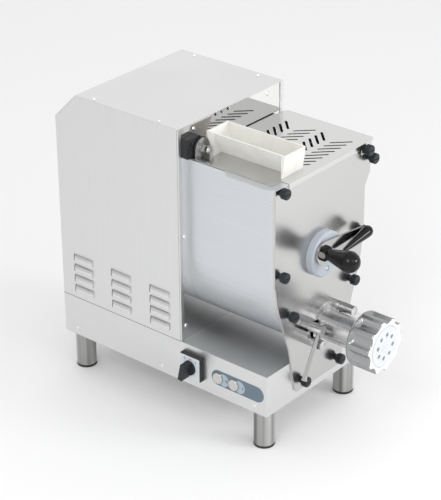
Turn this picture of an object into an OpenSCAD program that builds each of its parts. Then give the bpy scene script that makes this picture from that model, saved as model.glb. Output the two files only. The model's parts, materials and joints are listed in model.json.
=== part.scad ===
// Electric pasta maker for fresh extruded pasta: sheet metal housing on a base with
// legs, a kneading tank with a hinged lid, and an extruder with a ring nut and a die.
// Millimetres, +Z up. X runs from the rear panel to the die, Y from the control side
// to the far side. The origin is on the floor under the middle of the machine.

/* [Base and housing] */
// length of the base box from rear to front
base_len = 500; // [420:1:580]
// width of the base box, the housing and the lid
body_w = 293; // [260:1:330]
// height of the base box
base_h = 83; // [70:1:100]
// length of the rear housing
house_len = 300.5; // [260:0.5:340]
// height of the housing above the base
house_h = 423; // [380:1:480]
// run and drop of the slope along the rear top edge
slope = 54; // [30:1:80]
// thickness of the casing sheet
sheet = 1.5; // [1:0.1:2]
// thickness of the front plate
plate = 3; // [2:0.5:5]
// height of the legs
leg_h = 78; // [50:1:120]
// diameter of the legs
leg_d = 39.5; // [30:0.5:50]
// distance of a leg's axis from the edges of the base
leg_inset = 26.4; // [22:0.1:40]

/* [Tank and lid] */
// distance of the tank's walls from the sides of the base
tank_side = 20; // [12:0.5:30]
// height of the tank rim above the base
rim_h = 362.5; // [340:0.5:390]
// height above the base at which the tank's sides start to curve in
bend_h = 179; // [160:1:205]
// depth of the curved tank bottom
bowl_depth = 157; // [130:1:175]
// height of the kneading shaft above the base
mixer_h = 194; // [180:1:215]
// height of the extruder axis above the base
auger_h = 54; // [45:1:65]
// height of the lid hinge axis above the tank rim
hinge_h = 15.5; // [12:0.5:22]
// distance of the lid hinge axis from the control side
hinge_y = 45.5; // [40:0.5:55]
// running gap between the lid and what it closes
lid_gap = 0.3; // [0.2:0.05:1]
// height of the tray on the lid
tray_h = 42.7; // [30:0.1:60]
// width of the tray at its rim
tray_w = 58; // [45:1:70]

/* [Extruder and lever] */
// inside radius of the extruder barrel
barrel_bore = 25.4; // [20:0.1:27]
// outside radius of the extruder barrel
barrel_r = 28.5; // [26:0.5:32]
// outside radius of the ring nut
ring_r = 52; // [46:0.5:60]
// length of the ring nut
ring_len = 51; // [40:1:60]
// reach of the ring nut's front face beyond the front plate
ring_reach = 147; // [130:1:165]
// pitch of the auger's screw
auger_pitch = 40; // [30:1:60]
// radius of the plastic bush disc
bush_r = 43.5; // [36:0.5:50]
// thickness of the bush disc and of the barrel flange
bush_t = 16.2; // [12:0.2:20]
// length of the lever from the shaft axis to its tip
lever_len = 106; // [90:1:108]

/* [Drive] */
// gear module
gear_m = 3.5; // [2:0.5:5]
// teeth on the auger gear
auger_teeth = 26; // [20:1:32]
// radius of the motor
motor_r = 60; // [50:1:70]
// height of the motor casing
motor_h = 190; // [150:1:220]

/* [Hidden] */
house_top = base_h + house_h;
rim_z = base_h + rim_h;
bend_z = base_h + bend_h;
mixer_z = base_h + mixer_h;
auger_z = base_h + auger_h;
hinge_z = rim_z + hinge_h;
mid_y = body_w / 2;
tank_half = mid_y - tank_side;
sheet2 = 2 * sheet;
cut = 1; // overrun of every cut
run_fit = 0.1; // radial gap of a running fit
clear = 0.3; // gap between pieces that move past each other
seat_gap = 0.3; // gap round a neck that passes through a sheet
tank_t = 1.5; // wall of the tank
back_t = 2; // rear wall of the tank
frame_t = 6; // frame round the mouth of the tank
front_x = base_len + plate; // outer face of the front plate
slope_v = sheet * sqrt(2); // sheet of the slope, measured upright
slope_z = house_top - slope; // lower end of the slope
wall_x = house_len - sheet2; // rear face of the partition
tank_x = house_len - sheet; // front face of the partition
in_half = tank_half - tank_t;
die_x = front_x + ring_reach; // face of the die and the ring nut
gear_dist = mixer_z - auger_z;
mixer_teeth = round(2 * gear_dist / gear_m) - auger_teeth;

// outer reach of the whole machine, for the origin
gland_out = 22; // cable gland behind the rear panel
knob_out = 36.5; // switch knob before the control side
off_x = (die_x - gland_out) / 2;
far_out = 3 * sheet; // lid's far edge beyond the base
off_y = (body_w + far_out - knob_out) / 2;

// screws
screw_r = 4.2;
screw_h = 2.2;
screw_shank = 2;
screw_len = 7;
screw_slot = 1;

// studs and thumb nuts
stud_r = 3;
stud_out = 16; // stud beyond the front plate
nut_collar_r = 6.2;
nut_r = 10;
nut_collar = 6;
nut_len = 18;
nut_flutes = 12;
flute_r = 1.4;
nut_slot = 1.6;
mid_in = 9; // thumb nuts in from the tank's walls
low_in = 36.5;
top_in = 8.5;
lock_in = 7;
ear_over = 11.5; // thumb nut of the ear beyond the tank's wall
low_up = 104; // low thumb nuts above the base
top_down = 7.5; // thumb nuts and lid lock below the tank's rim
ear_down = 31.5;
lock_down = 8.5;
mid_dy = tank_half - mid_in; // sideways places from the middle
low_dy = tank_half - low_in;
bot_dy = 52;
top_dy = tank_half - top_in;
ear_dy = tank_half + ear_over;
lock_dy = tank_half - lock_in;
low_z = base_h + low_up; // heights
bot_z = 37;
top_z = rim_z - top_down;
ear_z = rim_z - ear_down;
lock_z = rim_z - lock_down;

// shared shapes
module place() { translate([-off_x, -off_y, leg_h]) children(); }
module rod_x(r, l) { rotate([0, 90, 0]) cylinder(r = r, h = l, $fn = 48); }
module rod_y(r, l) { rotate([-90, 0, 0]) cylinder(r = r, h = l, $fn = 48); }
module at_mixer(x) { translate([x, mid_y, mixer_z]) children(); }
module at_auger(x) { translate([x, mid_y, auger_z]) children(); }
// a drawing in Y and Z, made solid along X
module along_x(l) { rotate([90, 0, 90]) linear_extrude(l) children(); }
// a drawing in X and Z, made solid along Y
module along_y(l) { translate([0, l, 0]) rotate([90, 0, 0]) linear_extrude(l) children(); }

// Base
cam_back = 171.5; // controls behind the front of the base
stop_back = 113;
start_back = 75.8;
cam_x = base_len - cam_back; // middle of the rotary switch
cam_z = 44;
cam_neck = 18;
stop_x = base_len - stop_back; // middles of the two buttons
start_x = base_len - start_back;
button_z = 39.2;
button_r = 11.5;
screw_rear = 32.6; // rear and front base screws from the ends of the base
screw_front = 28.8;
base_screw_x = [screw_rear, (screw_rear + base_len - screw_front) / 2, base_len - screw_front];
base_screw_z = 14.4;
floor_flange = 20;
wire_x = 45; // wiring hole through the base top
wire_r = 14;
vent_l = 60;
vent_w = 6;
vent_pitch = 16;
leg_xs = [leg_inset, base_len - leg_inset];
leg_ys = [leg_inset, body_w - leg_inset];
leg_wall = 2;
leg_top = 5;
leg_stud = 5;
leg_stud_h = 14;
leg_nut = 8;
leg_nut_h = 6;
cap_h = 5;
cap_plug = 9;

module base_shell() {
    color("silver") place() {
        difference() {
            cube([base_len, body_w, base_h]);
            translate([sheet, sheet, -cut])
                cube([base_len - sheet2, body_w - sheet2, base_h - sheet + cut]);
            translate([cam_x, -cut, cam_z]) rod_y(cam_neck + seat_gap, sheet + 2 * cut);
            for (x = [stop_x, start_x])
                translate([x, -cut, button_z]) rod_y(button_r, sheet + 2 * cut);
            for (x = base_screw_x, y = [-cut, body_w - sheet - cut])
                translate([x, y, base_screw_z]) rod_y(screw_shank, sheet + 2 * cut);
            translate([wire_x, mid_y, base_h - sheet - cut])
                cylinder(r = wire_r, h = sheet + 2 * cut, $fn = 48);
        }
        for (s = [-1, 1])
            translate([base_len - sheet, mid_y + s * bot_dy, bot_z])
                rod_x(stud_r, sheet + plate + stud_out);
    }
}

module base_floor() {
    lo = sheet + seat_gap;
    color("gainsboro") place() difference() {
        translate([lo, lo, 0])
            cube([base_len - 2 * lo, body_w - 2 * lo, floor_flange]);
        translate([lo + sheet, lo + sheet, sheet])
            cube([base_len - 2 * lo - sheet2, body_w - 2 * lo - sheet2, floor_flange]);
        for (x = leg_xs, y = leg_ys)
            translate([x, y, -cut]) cylinder(r = leg_stud, h = sheet + 2 * cut, $fn = 48);
        for (x = base_screw_x, y = [lo - cut, body_w - lo - sheet - cut])
            translate([x, y, base_screw_z]) rod_y(screw_shank, sheet + 2 * cut);
        for (i = [0:1:5])
            translate([(base_len - vent_l) / 2, mid_y + (i - 2.5) * vent_pitch, -cut])
                cube([vent_l, vent_w, sheet + 2 * cut]);
    }
}

module legs() {
    color("silver") place() for (x = leg_xs, y = leg_ys) translate([x, y, 0]) {
        difference() {
            translate([0, 0, cap_h - leg_h])
                cylinder(d = leg_d, h = leg_h - cap_h, $fn = 64);
            translate([0, 0, cap_h - leg_h - cut])
                cylinder(d = leg_d - 2 * leg_wall, h = leg_h - cap_h - leg_top + cut, $fn = 64);
        }
        cylinder(r = leg_stud, h = leg_stud_h, $fn = 48);
        translate([0, 0, sheet]) cylinder(r = leg_nut, h = leg_nut_h, $fn = 6);
    }
}

module foot_caps() {
    color("black") place() for (x = leg_xs, y = leg_ys) translate([x, y, -leg_h]) {
        cylinder(d = leg_d, h = cap_h, $fn = 64);
        cylinder(d = leg_d - 2 * leg_wall, h = cap_plug + cap_h, $fn = 64);
    }
}

// Housing
strip_w = 8; // return strip along the front edge of a side panel
flange_w = 16; // flange under the cover and behind the rear panel
louvre_l = 47;
louvre_rear = 32.5; // louvres from the rear and from the front of the housing
louvre_front = 28.6;
louvre_step = (house_len - louvre_rear - louvre_l - louvre_front) / 2;
louvre_xs = [louvre_rear, louvre_rear + louvre_step, louvre_rear + 2 * louvre_step];
louvre_up = 21; // first louvres above the base
louvre_z0 = base_h + louvre_up;
louvre_pitch = 22;
louvre_rows = 4;
louvre_h = 14;
louvre_out = 4;
louvre_end = 5;
louvre_t = 1.1;
cover_screw_in = 39; // cover screws from the slope and from the front edge
cover_screw_back = 51.5;
cover_screw_x = [slope + cover_screw_in, house_len - cover_screw_back];
cover_screw_y = 9;
wall_screw_y = [44, 13.5, 13.5];
wall_screw_down = 13; // screws of the partition below its top and above the base
wall_screw_mid = 210;
wall_screw_up = 28;
wall_screw_z = [house_top - wall_screw_down, base_h + wall_screw_mid, base_h + wall_screw_up];
gland_in_y = 68; // cable gland from the far side and above the base
gland_up = 67;
gland_y = body_w - gland_in_y;
gland_z = base_h + gland_up;
gland_r = 10;
mixer_neck = 16; // seal through the partition
auger_neck = 16;

module louvre_cut() {
    translate([louvre_end, -cut, sheet])
        cube([louvre_l - 2 * louvre_end, sheet + 2 * cut, louvre_h - 3 * sheet]);
}
// a pressed hood, open along its lower edge, on a panel whose face is y = 0
hood_shares = [[1, 0], [1, 0.35], [0.62, 0.75], [0, 1]]; // its section, from the lower edge up
module hood(t, over) {
    intersection() {
        along_x(louvre_l) polygon(concat([[over, -over]],
            [for (p = hood_shares) [-p[0] * (louvre_out - t),
                p[1] == 0 ? -over : p[1] * louvre_h - 1.5 * t]],
            [[over, louvre_h - 1.5 * t]]));
        translate([0, 0, -over]) linear_extrude(louvre_h + over) polygon([
            [t, over], [t, 0], [louvre_end + t, t - louvre_out],
            [louvre_l - louvre_end - t, t - louvre_out], [louvre_l - t, 0],
            [louvre_l - t, over]]);
    }
}
module louvre() {
    difference() {
        hood(0, 0);
        hood(louvre_t, cut);
    }
}
module panel_outline() {
    top = house_top - slope_v;
    polygon([[0, base_h], [house_len, base_h], [house_len, house_top - sheet],
        [slope + slope_v - sheet, house_top - sheet], [0, slope_z - slope_v]]);
}
// side panel with its flanges; the outer face is y = 0
module side_panel() {
    difference() {
        along_y(sheet) panel_outline();
        for (x = louvre_xs, i = [0:1:louvre_rows - 1])
            translate([x, 0, louvre_z0 + (i - 0.5) * louvre_pitch + louvre_h / 3])
                louvre_cut();
    }
    translate([house_len - sheet, sheet, base_h])
        cube([sheet, strip_w - sheet, house_top - sheet - base_h]);
    difference() {
        translate([slope + flange_w, sheet, house_top - sheet2])
            cube([wall_x - slope - flange_w, flange_w - sheet, sheet]);
        for (x = cover_screw_x)
            translate([x, cover_screw_y, house_top - sheet2 - cut])
                cylinder(r = screw_shank, h = sheet + 2 * cut, $fn = 32);
    }
    translate([sheet, sheet, base_h]) cube([sheet, flange_w - sheet, slope_z - slope_v - base_h]);
    for (x = louvre_xs, i = [0:1:louvre_rows - 1])
        translate([x, 0, louvre_z0 + (i - 0.5) * louvre_pitch + louvre_h / 3]) louvre();
}
module near_panel() { color("gainsboro") place() side_panel(); }
module far_panel() {
    color("gainsboro") place() translate([0, body_w, 0]) mirror([0, 1, 0]) side_panel();
}

module rear_panel() {
    color("gainsboro") place() difference() {
        translate([0, sheet, base_h])
            cube([sheet, body_w - sheet2, slope_z - slope_v - base_h]);
        translate([-cut, gland_y, gland_z]) rod_x(gland_r, sheet + 2 * cut);
        for (i = [0:1:5], y = [mid_y - vent_l * 1.2, mid_y + vent_l * 0.2])
            translate([-cut, y, slope_z - vent_l - i * vent_pitch])
                cube([sheet + 2 * cut, vent_l, vent_w]);
    }
}

module top_cover() {
    color("gainsboro") place() difference() {
        along_y(body_w) polygon([[0, slope_z], [slope, house_top], [house_len, house_top],
            [house_len, house_top - sheet], [slope + slope_v - sheet, house_top - sheet],
            [0, slope_z - slope_v]]);
        for (x = cover_screw_x, y = [cover_screw_y, body_w - cover_screw_y])
            translate([x, y, house_top - sheet - cut])
                cylinder(r = screw_shank, h = sheet + 2 * cut, $fn = 32);
    }
}

module partition() {
    color("lightgray") place() difference() {
        translate([wall_x, sheet, base_h])
            cube([sheet, body_w - sheet2, house_top - sheet - base_h]);
        at_mixer(wall_x - cut) rod_x(mixer_neck, sheet + 2 * cut);
        at_auger(wall_x - cut) rod_x(auger_neck, sheet + 2 * cut);
        for (i = [0:1:2], s = [0, 1])
            translate([wall_x - cut, s == 0 ? wall_screw_y[i] : body_w - wall_screw_y[i],
                wall_screw_z[i]]) rod_x(screw_shank, sheet + 2 * cut);
        translate([wall_x - cut, switch_y0 + switch_w / 2, switch_z0 + switch_h / 2])
            rod_x(switch_neck, sheet + 2 * cut);
    }
}

module pan_screw() {
    difference() {
        union() {
            cylinder(r1 = screw_r, r2 = screw_r * 0.7, h = screw_h, $fn = 32);
            translate([0, 0, -screw_len]) cylinder(r = screw_shank, h = screw_len, $fn = 24);
        }
        for (a = [0, 90]) rotate([0, 0, a])
            translate([-screw_r * 0.45, -screw_slot / 2, screw_h / 2])
                cube([screw_r * 0.9, screw_slot, screw_h]);
    }
}

module case_screws() {
    color("silver") place() {
        for (x = base_screw_x) {
            translate([x, 0, base_screw_z]) rotate([90, 0, 0]) pan_screw();
            translate([x, body_w, base_screw_z]) rotate([-90, 0, 0]) pan_screw();
        }
        for (x = cover_screw_x, y = [cover_screw_y, body_w - cover_screw_y])
            translate([x, y, house_top]) pan_screw();
        for (i = [0:1:2], s = [0, 1])
            translate([tank_x, s == 0 ? wall_screw_y[i] : body_w - wall_screw_y[i],
                wall_screw_z[i]]) rotate([0, 90, 0]) pan_screw();
        translate([front_x + bush_t - bush_edge, mid_y, mixer_z - bush_screw_z])
            rotate([0, 90, 0]) pan_screw();
    }
}

// Tank
bowl_steps = 20;
mouth_land = 6.6; // frame between the mouth of the tank and the extruder's bore
mouth_edge = 18.5; // mouth in from the tank's walls
mouth_half = tank_half - mouth_edge;
mouth_z = auger_z + barrel_bore + mouth_land + mouth_half;
foot_half = 60;
foot_h = 45;
foot_top = base_h + foot_h;
slot_up = 9; // width of the slot that takes the lid lock
shelf_out = 16; // shelf beyond the near wall
shelf_r = 20;
shelf_in = 25; // reach of the shelf's corner over the frame
lip_x = 5; // reach of the lid and the shelf beyond the front plate
near_y = mid_y - tank_half;
shelf_y = near_y - shelf_out + sheet / 3;
lid_front = front_x + lip_x;
shelf_l = 118.5;
shelf_run = 15.5; // slant of the shelf's rear end
notch_x0 = lid_front - shelf_l; // where the shelf over the near wall starts
notch_x1 = notch_x0 + shelf_run;
shelf_corner = 2.5;
corner_x = base_len - frame_t - shelf_corner;
corner_y = near_y + sheet + shelf_in;
stud_list = [[-top_dy, top_z], [ear_dy, ear_z], [-mid_dy, mixer_z], [mid_dy, mixer_z],
    [-low_dy, low_z], [low_dy, low_z]];
clamp_dy = 46.5;
clamp_dz = 15;
clamp_r = 5;
clamp_out = 30;
ear_w = 19; // ear of the frame and the plate beyond the tank
ear_h = 30;
spigot_r = 20; // bush spigot through the front plate
bush_edge = 3; // bevel round the bush disc

// tank section: upright sides and a curved bottom, less by a wall of t
function bowl(t) = [
    for (i = [0:1:2 * bowl_steps]) let (a = 180 + 90 * i / bowl_steps)
        [mid_y + (tank_half - t) * cos(a), bend_z + (bowl_depth - t) * sin(a)]];
module tank_section(t, top) {
    polygon(concat([[mid_y + tank_half - t, top], [mid_y - tank_half + t, top]], bowl(t)));
}

module tank() {
    color("lightsteelblue") place() {
        difference() {
            translate([tank_x, 0, 0]) along_x(base_len - frame_t - tank_x)
                tank_section(0, rim_z);
            translate([tank_x + back_t, 0, 0]) along_x(base_len) tank_section(tank_t, rim_z + cut);
            at_mixer(tank_x - cut) rod_x(mixer_neck, back_t + 2 * cut);
            at_auger(tank_x - cut) rod_x(auger_neck, back_t + 2 * cut);
        }
        translate([notch_x0, near_y, rim_z - sheet])
            cube([base_len - frame_t - notch_x0, sheet, sheet * 1.5]);
        translate([0, 0, rim_z]) linear_extrude(sheet) difference() {
            union() {
                polygon([[notch_x0, near_y], [notch_x1, shelf_y],
                    [lid_front - shelf_r, shelf_y], [lid_front - shelf_r, near_y + sheet],
                    [notch_x0, near_y + sheet]]);
                translate([lid_front - shelf_r, shelf_y + shelf_r])
                    circle(r = shelf_r, $fn = 64);
                translate([corner_x, shelf_y + shelf_r])
                    square([lid_front - corner_x, corner_y - shelf_y - shelf_r]);
            }
            translate([notch_x0, near_y + sheet])
                square([corner_x - notch_x0, shelf_in * 2]);
        }
    }
}

module front_frame() {
    x0 = base_len - frame_t;
    color("silver") place() {
        difference() {
            translate([x0, 0, 0]) along_x(frame_t) union() {
                tank_section(0, rim_z);
                translate([mid_y - foot_half, base_h]) square([2 * foot_half, foot_top - base_h]);
                translate([mid_y + in_half, ear_z - ear_h / 2]) square([ear_w, ear_h]);
            }
            translate([x0 - cut, mid_y, mouth_z]) rod_x(mouth_half, frame_t + 2 * cut);
            translate([x0 - cut, mid_y - mouth_half, mouth_z])
                cube([frame_t + 2 * cut, 2 * mouth_half, rim_z]);
            at_auger(x0 - cut) rod_x(barrel_bore, frame_t + 2 * cut);
        }
        for (p = stud_list) translate([x0 + frame_t, mid_y + p[0], p[1]])
            rod_x(stud_r, plate + stud_out);
        for (s = [-1, 1], t = [-1, 1])
            translate([x0 + frame_t, mid_y + s * clamp_dy, auger_z + t * clamp_dz])
                rod_x(clamp_r, plate + clamp_out);
    }
}

plate_top = rim_z - lid_gap;
plate_half = tank_half + plate;
plate_low = 16;
plate_corner = 10;
hole_in = 42.5; // small hole in from the tank's wall and above the base
hole_up = 50;
hole_dy = tank_half - hole_in;
hole_dz = base_h + hole_up;
// half widths of the front plate at six heights, as shares of its widest half width
half_shares = [1, 0.981, 0.954, 0.896, 0.78, 0.68];
// heights of those six places, as shares of the tank's bend height
height_shares = [0.985, 0.966, 0.863, 0.756, 0.576, 0.435];
foot_share = 0.46; // half width of the plate where its bottom corners start

module plate_outline() {
    n = len(half_shares);
    difference() {
        union() {
            polygon(concat(
                [[mid_y + plate_half, plate_top], [mid_y - plate_half, plate_top]],
                [for (i = [0:1:n - 1])
                    [mid_y - plate_half * half_shares[i], bend_z * height_shares[i]]],
                [[mid_y - plate_half * foot_share - plate_corner, plate_low + plate_corner],
                    [mid_y - plate_half * foot_share, plate_low],
                    [mid_y + plate_half * foot_share, plate_low],
                    [mid_y + plate_half * foot_share + plate_corner, plate_low + plate_corner]],
                [for (i = [n - 1:-1:0])
                    [mid_y + plate_half * half_shares[i], bend_z * height_shares[i]]]));
            for (s = [-1, 1]) translate([mid_y + s * plate_half * foot_share, plate_low + plate_corner])
                circle(r = plate_corner, $fn = 48);
            polygon([[mid_y + tank_half, ear_z - 2 * ear_h],
                [mid_y + in_half + ear_w, ear_z - ear_h],
                [mid_y + in_half + ear_w, plate_top], [mid_y + tank_half, plate_top]]);
        }
        translate([mid_y + lock_dy - slot_up / 2, lock_z]) square([slot_up, rim_z]);
        translate([mid_y + lock_dy, lock_z]) circle(d = slot_up, $fn = 48);
        for (p = stud_list) translate([mid_y + p[0], p[1]])
            circle(r = stud_r + seat_gap, $fn = 48);
        for (s = [-1, 1]) translate([mid_y + s * bot_dy, bot_z])
            circle(r = stud_r + seat_gap, $fn = 48);
        for (s = [-1, 1], t = [-1, 1])
            translate([mid_y + s * clamp_dy, auger_z + t * clamp_dz])
                circle(r = clamp_r + seat_gap, $fn = 48);
        translate([mid_y, mixer_z]) circle(r = spigot_r, $fn = 64);
        translate([mid_y, auger_z]) circle(r = barrel_bore, $fn = 64);
        translate([mid_y + hole_dy, hole_dz]) circle(r = screw_shank, $fn = 32);
    }
}
module front_plate() {
    color("whitesmoke") place() translate([base_len, 0, 0]) along_x(plate) plate_outline();
}

// black thumb nut: collar, fluted head and a slot, bore on the X axis
module thumb_nut() {
    difference() {
        union() {
            rod_x(nut_collar_r, nut_len);
            translate([nut_collar, 0, 0]) rod_x(nut_r, nut_len - nut_collar);
        }
        translate([-cut, 0, 0]) rod_x(stud_r + run_fit, nut_len - nut_slot + cut);
        for (i = [0:1:nut_flutes - 1]) rotate([i * 360 / nut_flutes, 0, 0])
            translate([nut_collar - cut, 0, nut_r + flute_r / 2])
                rod_x(flute_r, nut_len);
        translate([nut_len - nut_slot, -nut_slot / 2, -nut_r - cut])
            cube([nut_slot + cut, nut_slot, 2 * nut_r + 2 * cut]);
    }
}
module nut_at(dy, z) {
    color("black") place() translate([front_x + clear, mid_y + dy, z]) thumb_nut();
}
module nut_top_near() { nut_at(-top_dy, top_z); }
module nut_ear_far() { nut_at(ear_dy, ear_z); }
module nut_mid_near() { nut_at(-mid_dy, mixer_z); }
module nut_mid_far() { nut_at(mid_dy, mixer_z); }
module nut_low_near() { nut_at(-low_dy, low_z); }
module nut_low_far() { nut_at(low_dy, low_z); }
module nut_bottom_near() { nut_at(-bot_dy, bot_z); }
module nut_bottom_far() { nut_at(bot_dy, bot_z); }

// Lid
lid_z = rim_z + lid_gap;
lid_rear = tank_x + 2 * sheet + sheet;
lid_near = near_y + tank_t + 2 * lid_gap;
lid_far = body_w + far_out;
lid_r = 12;
lip_h = 8;
lip_y0 = corner_y + 4 * lid_gap;
lip_y1 = lid_far - lid_r;
slot_gap = 13.2; // plain sheet between two columns of herringbone slots
slot_w = 4;
slot_fat = 5;
slot_pitch = 17.6;
slot_rows = 8;
slot_shares = [0.227, 0.423, 0.626, 0.824]; // places of the slots along the lid
slot_x = [for (s = slot_shares) lid_rear + (lid_front - lid_rear) * s];
slot_len = (slot_x[1] - slot_x[0] - slot_gap) * sqrt(2);
slot_y = 119;
ear_front = 16.3; // lid's ear in front of the partition
ear_x = tank_x + ear_front;
ear_t = 2;
lid_ear_r = 19;
disc_t = 3;
disc_r = 20;
pin_r = 4;

module lid_plan() {
    difference() {
        union() {
            translate([lid_rear, lid_near]) square([corner_x - lid_gap - lid_rear, lip_y0 - lid_near]);
            translate([lid_rear, lip_y0]) square([lid_front - lid_rear, lid_far - lid_r - lip_y0]);
            translate([lid_rear + lid_r, lid_far - lid_r])
                square([lid_front - lid_rear - 2 * lid_r, lid_r]);
            for (x = [lid_rear + lid_r, lid_front - lid_r])
                translate([x, lid_far - lid_r]) circle(r = lid_r, $fn = 48);
        }
        for (c = [0:1:3], i = [0:1:slot_rows - 1])
            translate([slot_x[c], slot_y + i * slot_pitch]) slot_shape(c);
    }
}
module slot_shape(c) {
    w = c == 0 || c == 2 ? slot_fat : slot_w;
    l = c == 0 || c == 2 ? slot_len - slot_fat : slot_len;
    rotate([0, 0, c == 0 || c == 2 ? -45 : 45]) {
        square([l, w], center = true);
        for (s = [-1, 1]) translate([s * l / 2, 0]) circle(d = w, $fn = 24);
    }
}

module lid() {
    color("silver") place() {
        translate([0, 0, lid_z]) linear_extrude(sheet) lid_plan();
        difference() {
            union() {
                translate([lid_front - sheet, lip_y0, lid_z - lip_h])
                    cube([sheet, lip_y1 - lip_y0, lip_h]);
                translate([lid_front - sheet, mid_y + lock_dy - nut_r, lock_z - nut_r])
                    cube([sheet, 2 * nut_r, lid_z - lock_z + nut_r]);
            }
            translate([lid_front - sheet - cut, mid_y + lock_dy, lock_z])
                rod_x(stud_r, sheet + 2 * cut);
        }
        translate([lid_rear + lid_r, lid_far - sheet, lid_z - lip_h])
            cube([lid_front - lid_rear - 2 * lid_r, sheet, lip_h]);
        difference() {
            union() {
                translate([ear_x, hinge_y - lid_ear_r, lid_z + sheet])
                    cube([ear_t, 2 * lid_ear_r, hinge_z - lid_z - sheet]);
                translate([ear_x, hinge_y, hinge_z]) rod_x(lid_ear_r, ear_t);
            }
            translate([ear_x - cut, hinge_y, hinge_z]) rod_x(pin_r + run_fit, ear_t + 2 * cut);
            translate([ear_x - cut, hinge_y - lid_ear_r, hinge_z - 2 * lid_ear_r])
                cube([ear_t + 2 * cut, 2 * lid_ear_r, lid_z + sheet - hinge_z + 2 * lid_ear_r]);
        }
    }
}

module lid_lock() {
    tip = lid_front - base_len;
    color("black") place() translate([lid_front + clear, mid_y + lock_dy, lock_z]) {
        difference() {
            union() {
                rod_x(nut_collar_r, nut_collar);
                translate([nut_collar / 2, 0, 0]) rod_x(nut_r, nut_len - nut_collar);
                translate([-tip, 0, 0]) rod_x(stud_r - run_fit, tip + cut);
            }
            for (i = [0:1:nut_flutes - 1]) rotate([i * 360 / nut_flutes, 0, 0])
                translate([nut_collar / 2 - cut, 0, nut_r + flute_r / 2])
                    rod_x(flute_r, nut_len);
            translate([nut_len - nut_collar / 2 - nut_slot, -nut_slot / 2, -nut_r - cut])
                cube([nut_slot + cut, nut_slot, 2 * nut_r + 2 * cut]);
        }
    }
}

module hinge_disc() {
    color("black") place() difference() {
        translate([ear_x - disc_t, hinge_y, hinge_z]) rod_x(disc_r, disc_t);
        translate([ear_x - disc_t - cut, hinge_y, hinge_z])
            rod_x(pin_r + run_fit, disc_t + 2 * cut);
        translate([ear_x - disc_t - cut, hinge_y - disc_r, hinge_z - 2 * disc_r])
            cube([disc_t + 2 * cut, 2 * disc_r, lid_z + sheet - hinge_z + 2 * disc_r]);
    }
}

switch_y0 = strip_w + seat_gap;
switch_over = 2; // switch block beyond the hinge axis
switch_w = hinge_y + switch_over - switch_y0;
switch_z0 = lid_z + sheet + 2 * clear;
switch_h = 37;
switch_neck = 9;
switch_r = 5;

module safety_switch() {
    d = ear_x - disc_t - clear - tank_x;
    color("black") place() difference() {
        union() {
            translate([tank_x, 0, 0]) along_x(d) union() {
                translate([switch_y0 + switch_r, switch_z0])
                    square([switch_w - 2 * switch_r, switch_h]);
                translate([switch_y0, switch_z0 + switch_r])
                    square([switch_w, switch_h - 2 * switch_r]);
                for (y = [switch_y0 + switch_r, switch_y0 + switch_w - switch_r],
                    z = [switch_z0 + switch_r, switch_z0 + switch_h - switch_r])
                    translate([y, z]) circle(r = switch_r, $fn = 32);
                translate([hinge_y, hinge_z]) circle(r = lid_ear_r / 2, $fn = 48);
            }
            translate([wall_x - 2 * switch_neck, switch_y0 + switch_w / 2, switch_z0 + switch_h / 2])
                rod_x(switch_neck - seat_gap, 3 * switch_neck);
        }
        translate([tank_x + sheet, hinge_y, hinge_z]) rod_x(pin_r, d);
        translate([tank_x + d - screw_h, switch_y0 + 2 * switch_r, switch_z0 + switch_h - 2 * switch_r])
            rod_x(screw_r, screw_h + cut);
    }
}

washer_r = 9;
washer_t = 1.6;
nut_af = 7.4; // corner radius of the hinge nuts
nut_t = 6;
dome_r = 6.4;

module hinge_bolt() {
    x1 = ear_x + ear_t + clear;
    color("silver") place() translate([0, hinge_y, hinge_z]) {
        translate([tank_x + sheet, 0, 0]) rod_x(pin_r, x1 - tank_x + 2 * nut_t);
        translate([x1, 0, 0]) rod_x(washer_r, washer_t);
        translate([x1 + washer_t, 0, 0]) rotate([0, 90, 0]) cylinder(r = nut_af, h = nut_t, $fn = 6);
        translate([x1 + washer_t + nut_t, 0, 0]) rotate([30, 0, 0]) rotate([0, 90, 0])
            cylinder(r = nut_af, h = nut_t, $fn = 6);
        translate([x1 + washer_t + 2 * nut_t - cut, 0, 0]) rotate([0, 90, 0]) rotate_extrude($fn = 48)
            intersection() {
                circle(r = dome_r, $fn = 48);
                square([dome_r, dome_r]);
            }
    }
}

// Tray on the lid
tray_rear = 18; // tray from the partition and from the front of the lid
tray_edge = 17;
tray_x = tank_x + tray_rear;
tray_len = lid_front - tray_edge - tray_x;
tray_y = 56;
tray_t = 2.5;
tray_back = 15; // how far the rear end leans in
tray_front = 5.5; // how far the front end leans in
tray_slant = 21; // how far the near side leans in
tray_hole = 4;
module tray_ends(less) {
    polygon([[tray_x + less, tray_h], [tray_x + tray_len - less, tray_h],
        [tray_x + tray_len - tray_front - less, 0], [tray_x + tray_back + less, 0]]);
}
module tray() {
    color("ivory") place() translate([0, tray_y, lid_z + sheet]) difference() {
        intersection() {
            along_y(tray_w) tray_ends(0);
            union() {
                along_x(tray_x + tray_len)
                    polygon([[0, tray_h], [tray_w, tray_h], [tray_w, 0], [tray_slant, 0]]);
                along_x(tray_x + tray_back + tray_t)
                    polygon([[0, tray_h], [tray_slant, 0], [0, 0]]);
                translate([tray_x + tray_len - tray_front - tray_t, 0, 0])
                    along_x(tray_front + tray_t) polygon([[0, tray_h], [tray_slant, 0], [0, 0]]);
            }
        }
        intersection() {
            translate([0, -cut, tray_t]) along_y(tray_w + 2 * cut) tray_ends(tray_t);
            translate([0, 0, tray_t]) along_x(tray_x + tray_len)
                polygon([[tray_t, tray_h], [tray_w - tray_t, tray_h],
                    [tray_w - tray_t, 0], [tray_slant + tray_t, 0]]);
        }
        for (i = [1:1:6])
            translate([tray_x + tray_back + i * tray_len / 8, tray_w - 4 * tray_hole, -cut])
                cylinder(r = tray_hole, h = tray_t + 2 * cut, $fn = 32);
    }
}

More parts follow.
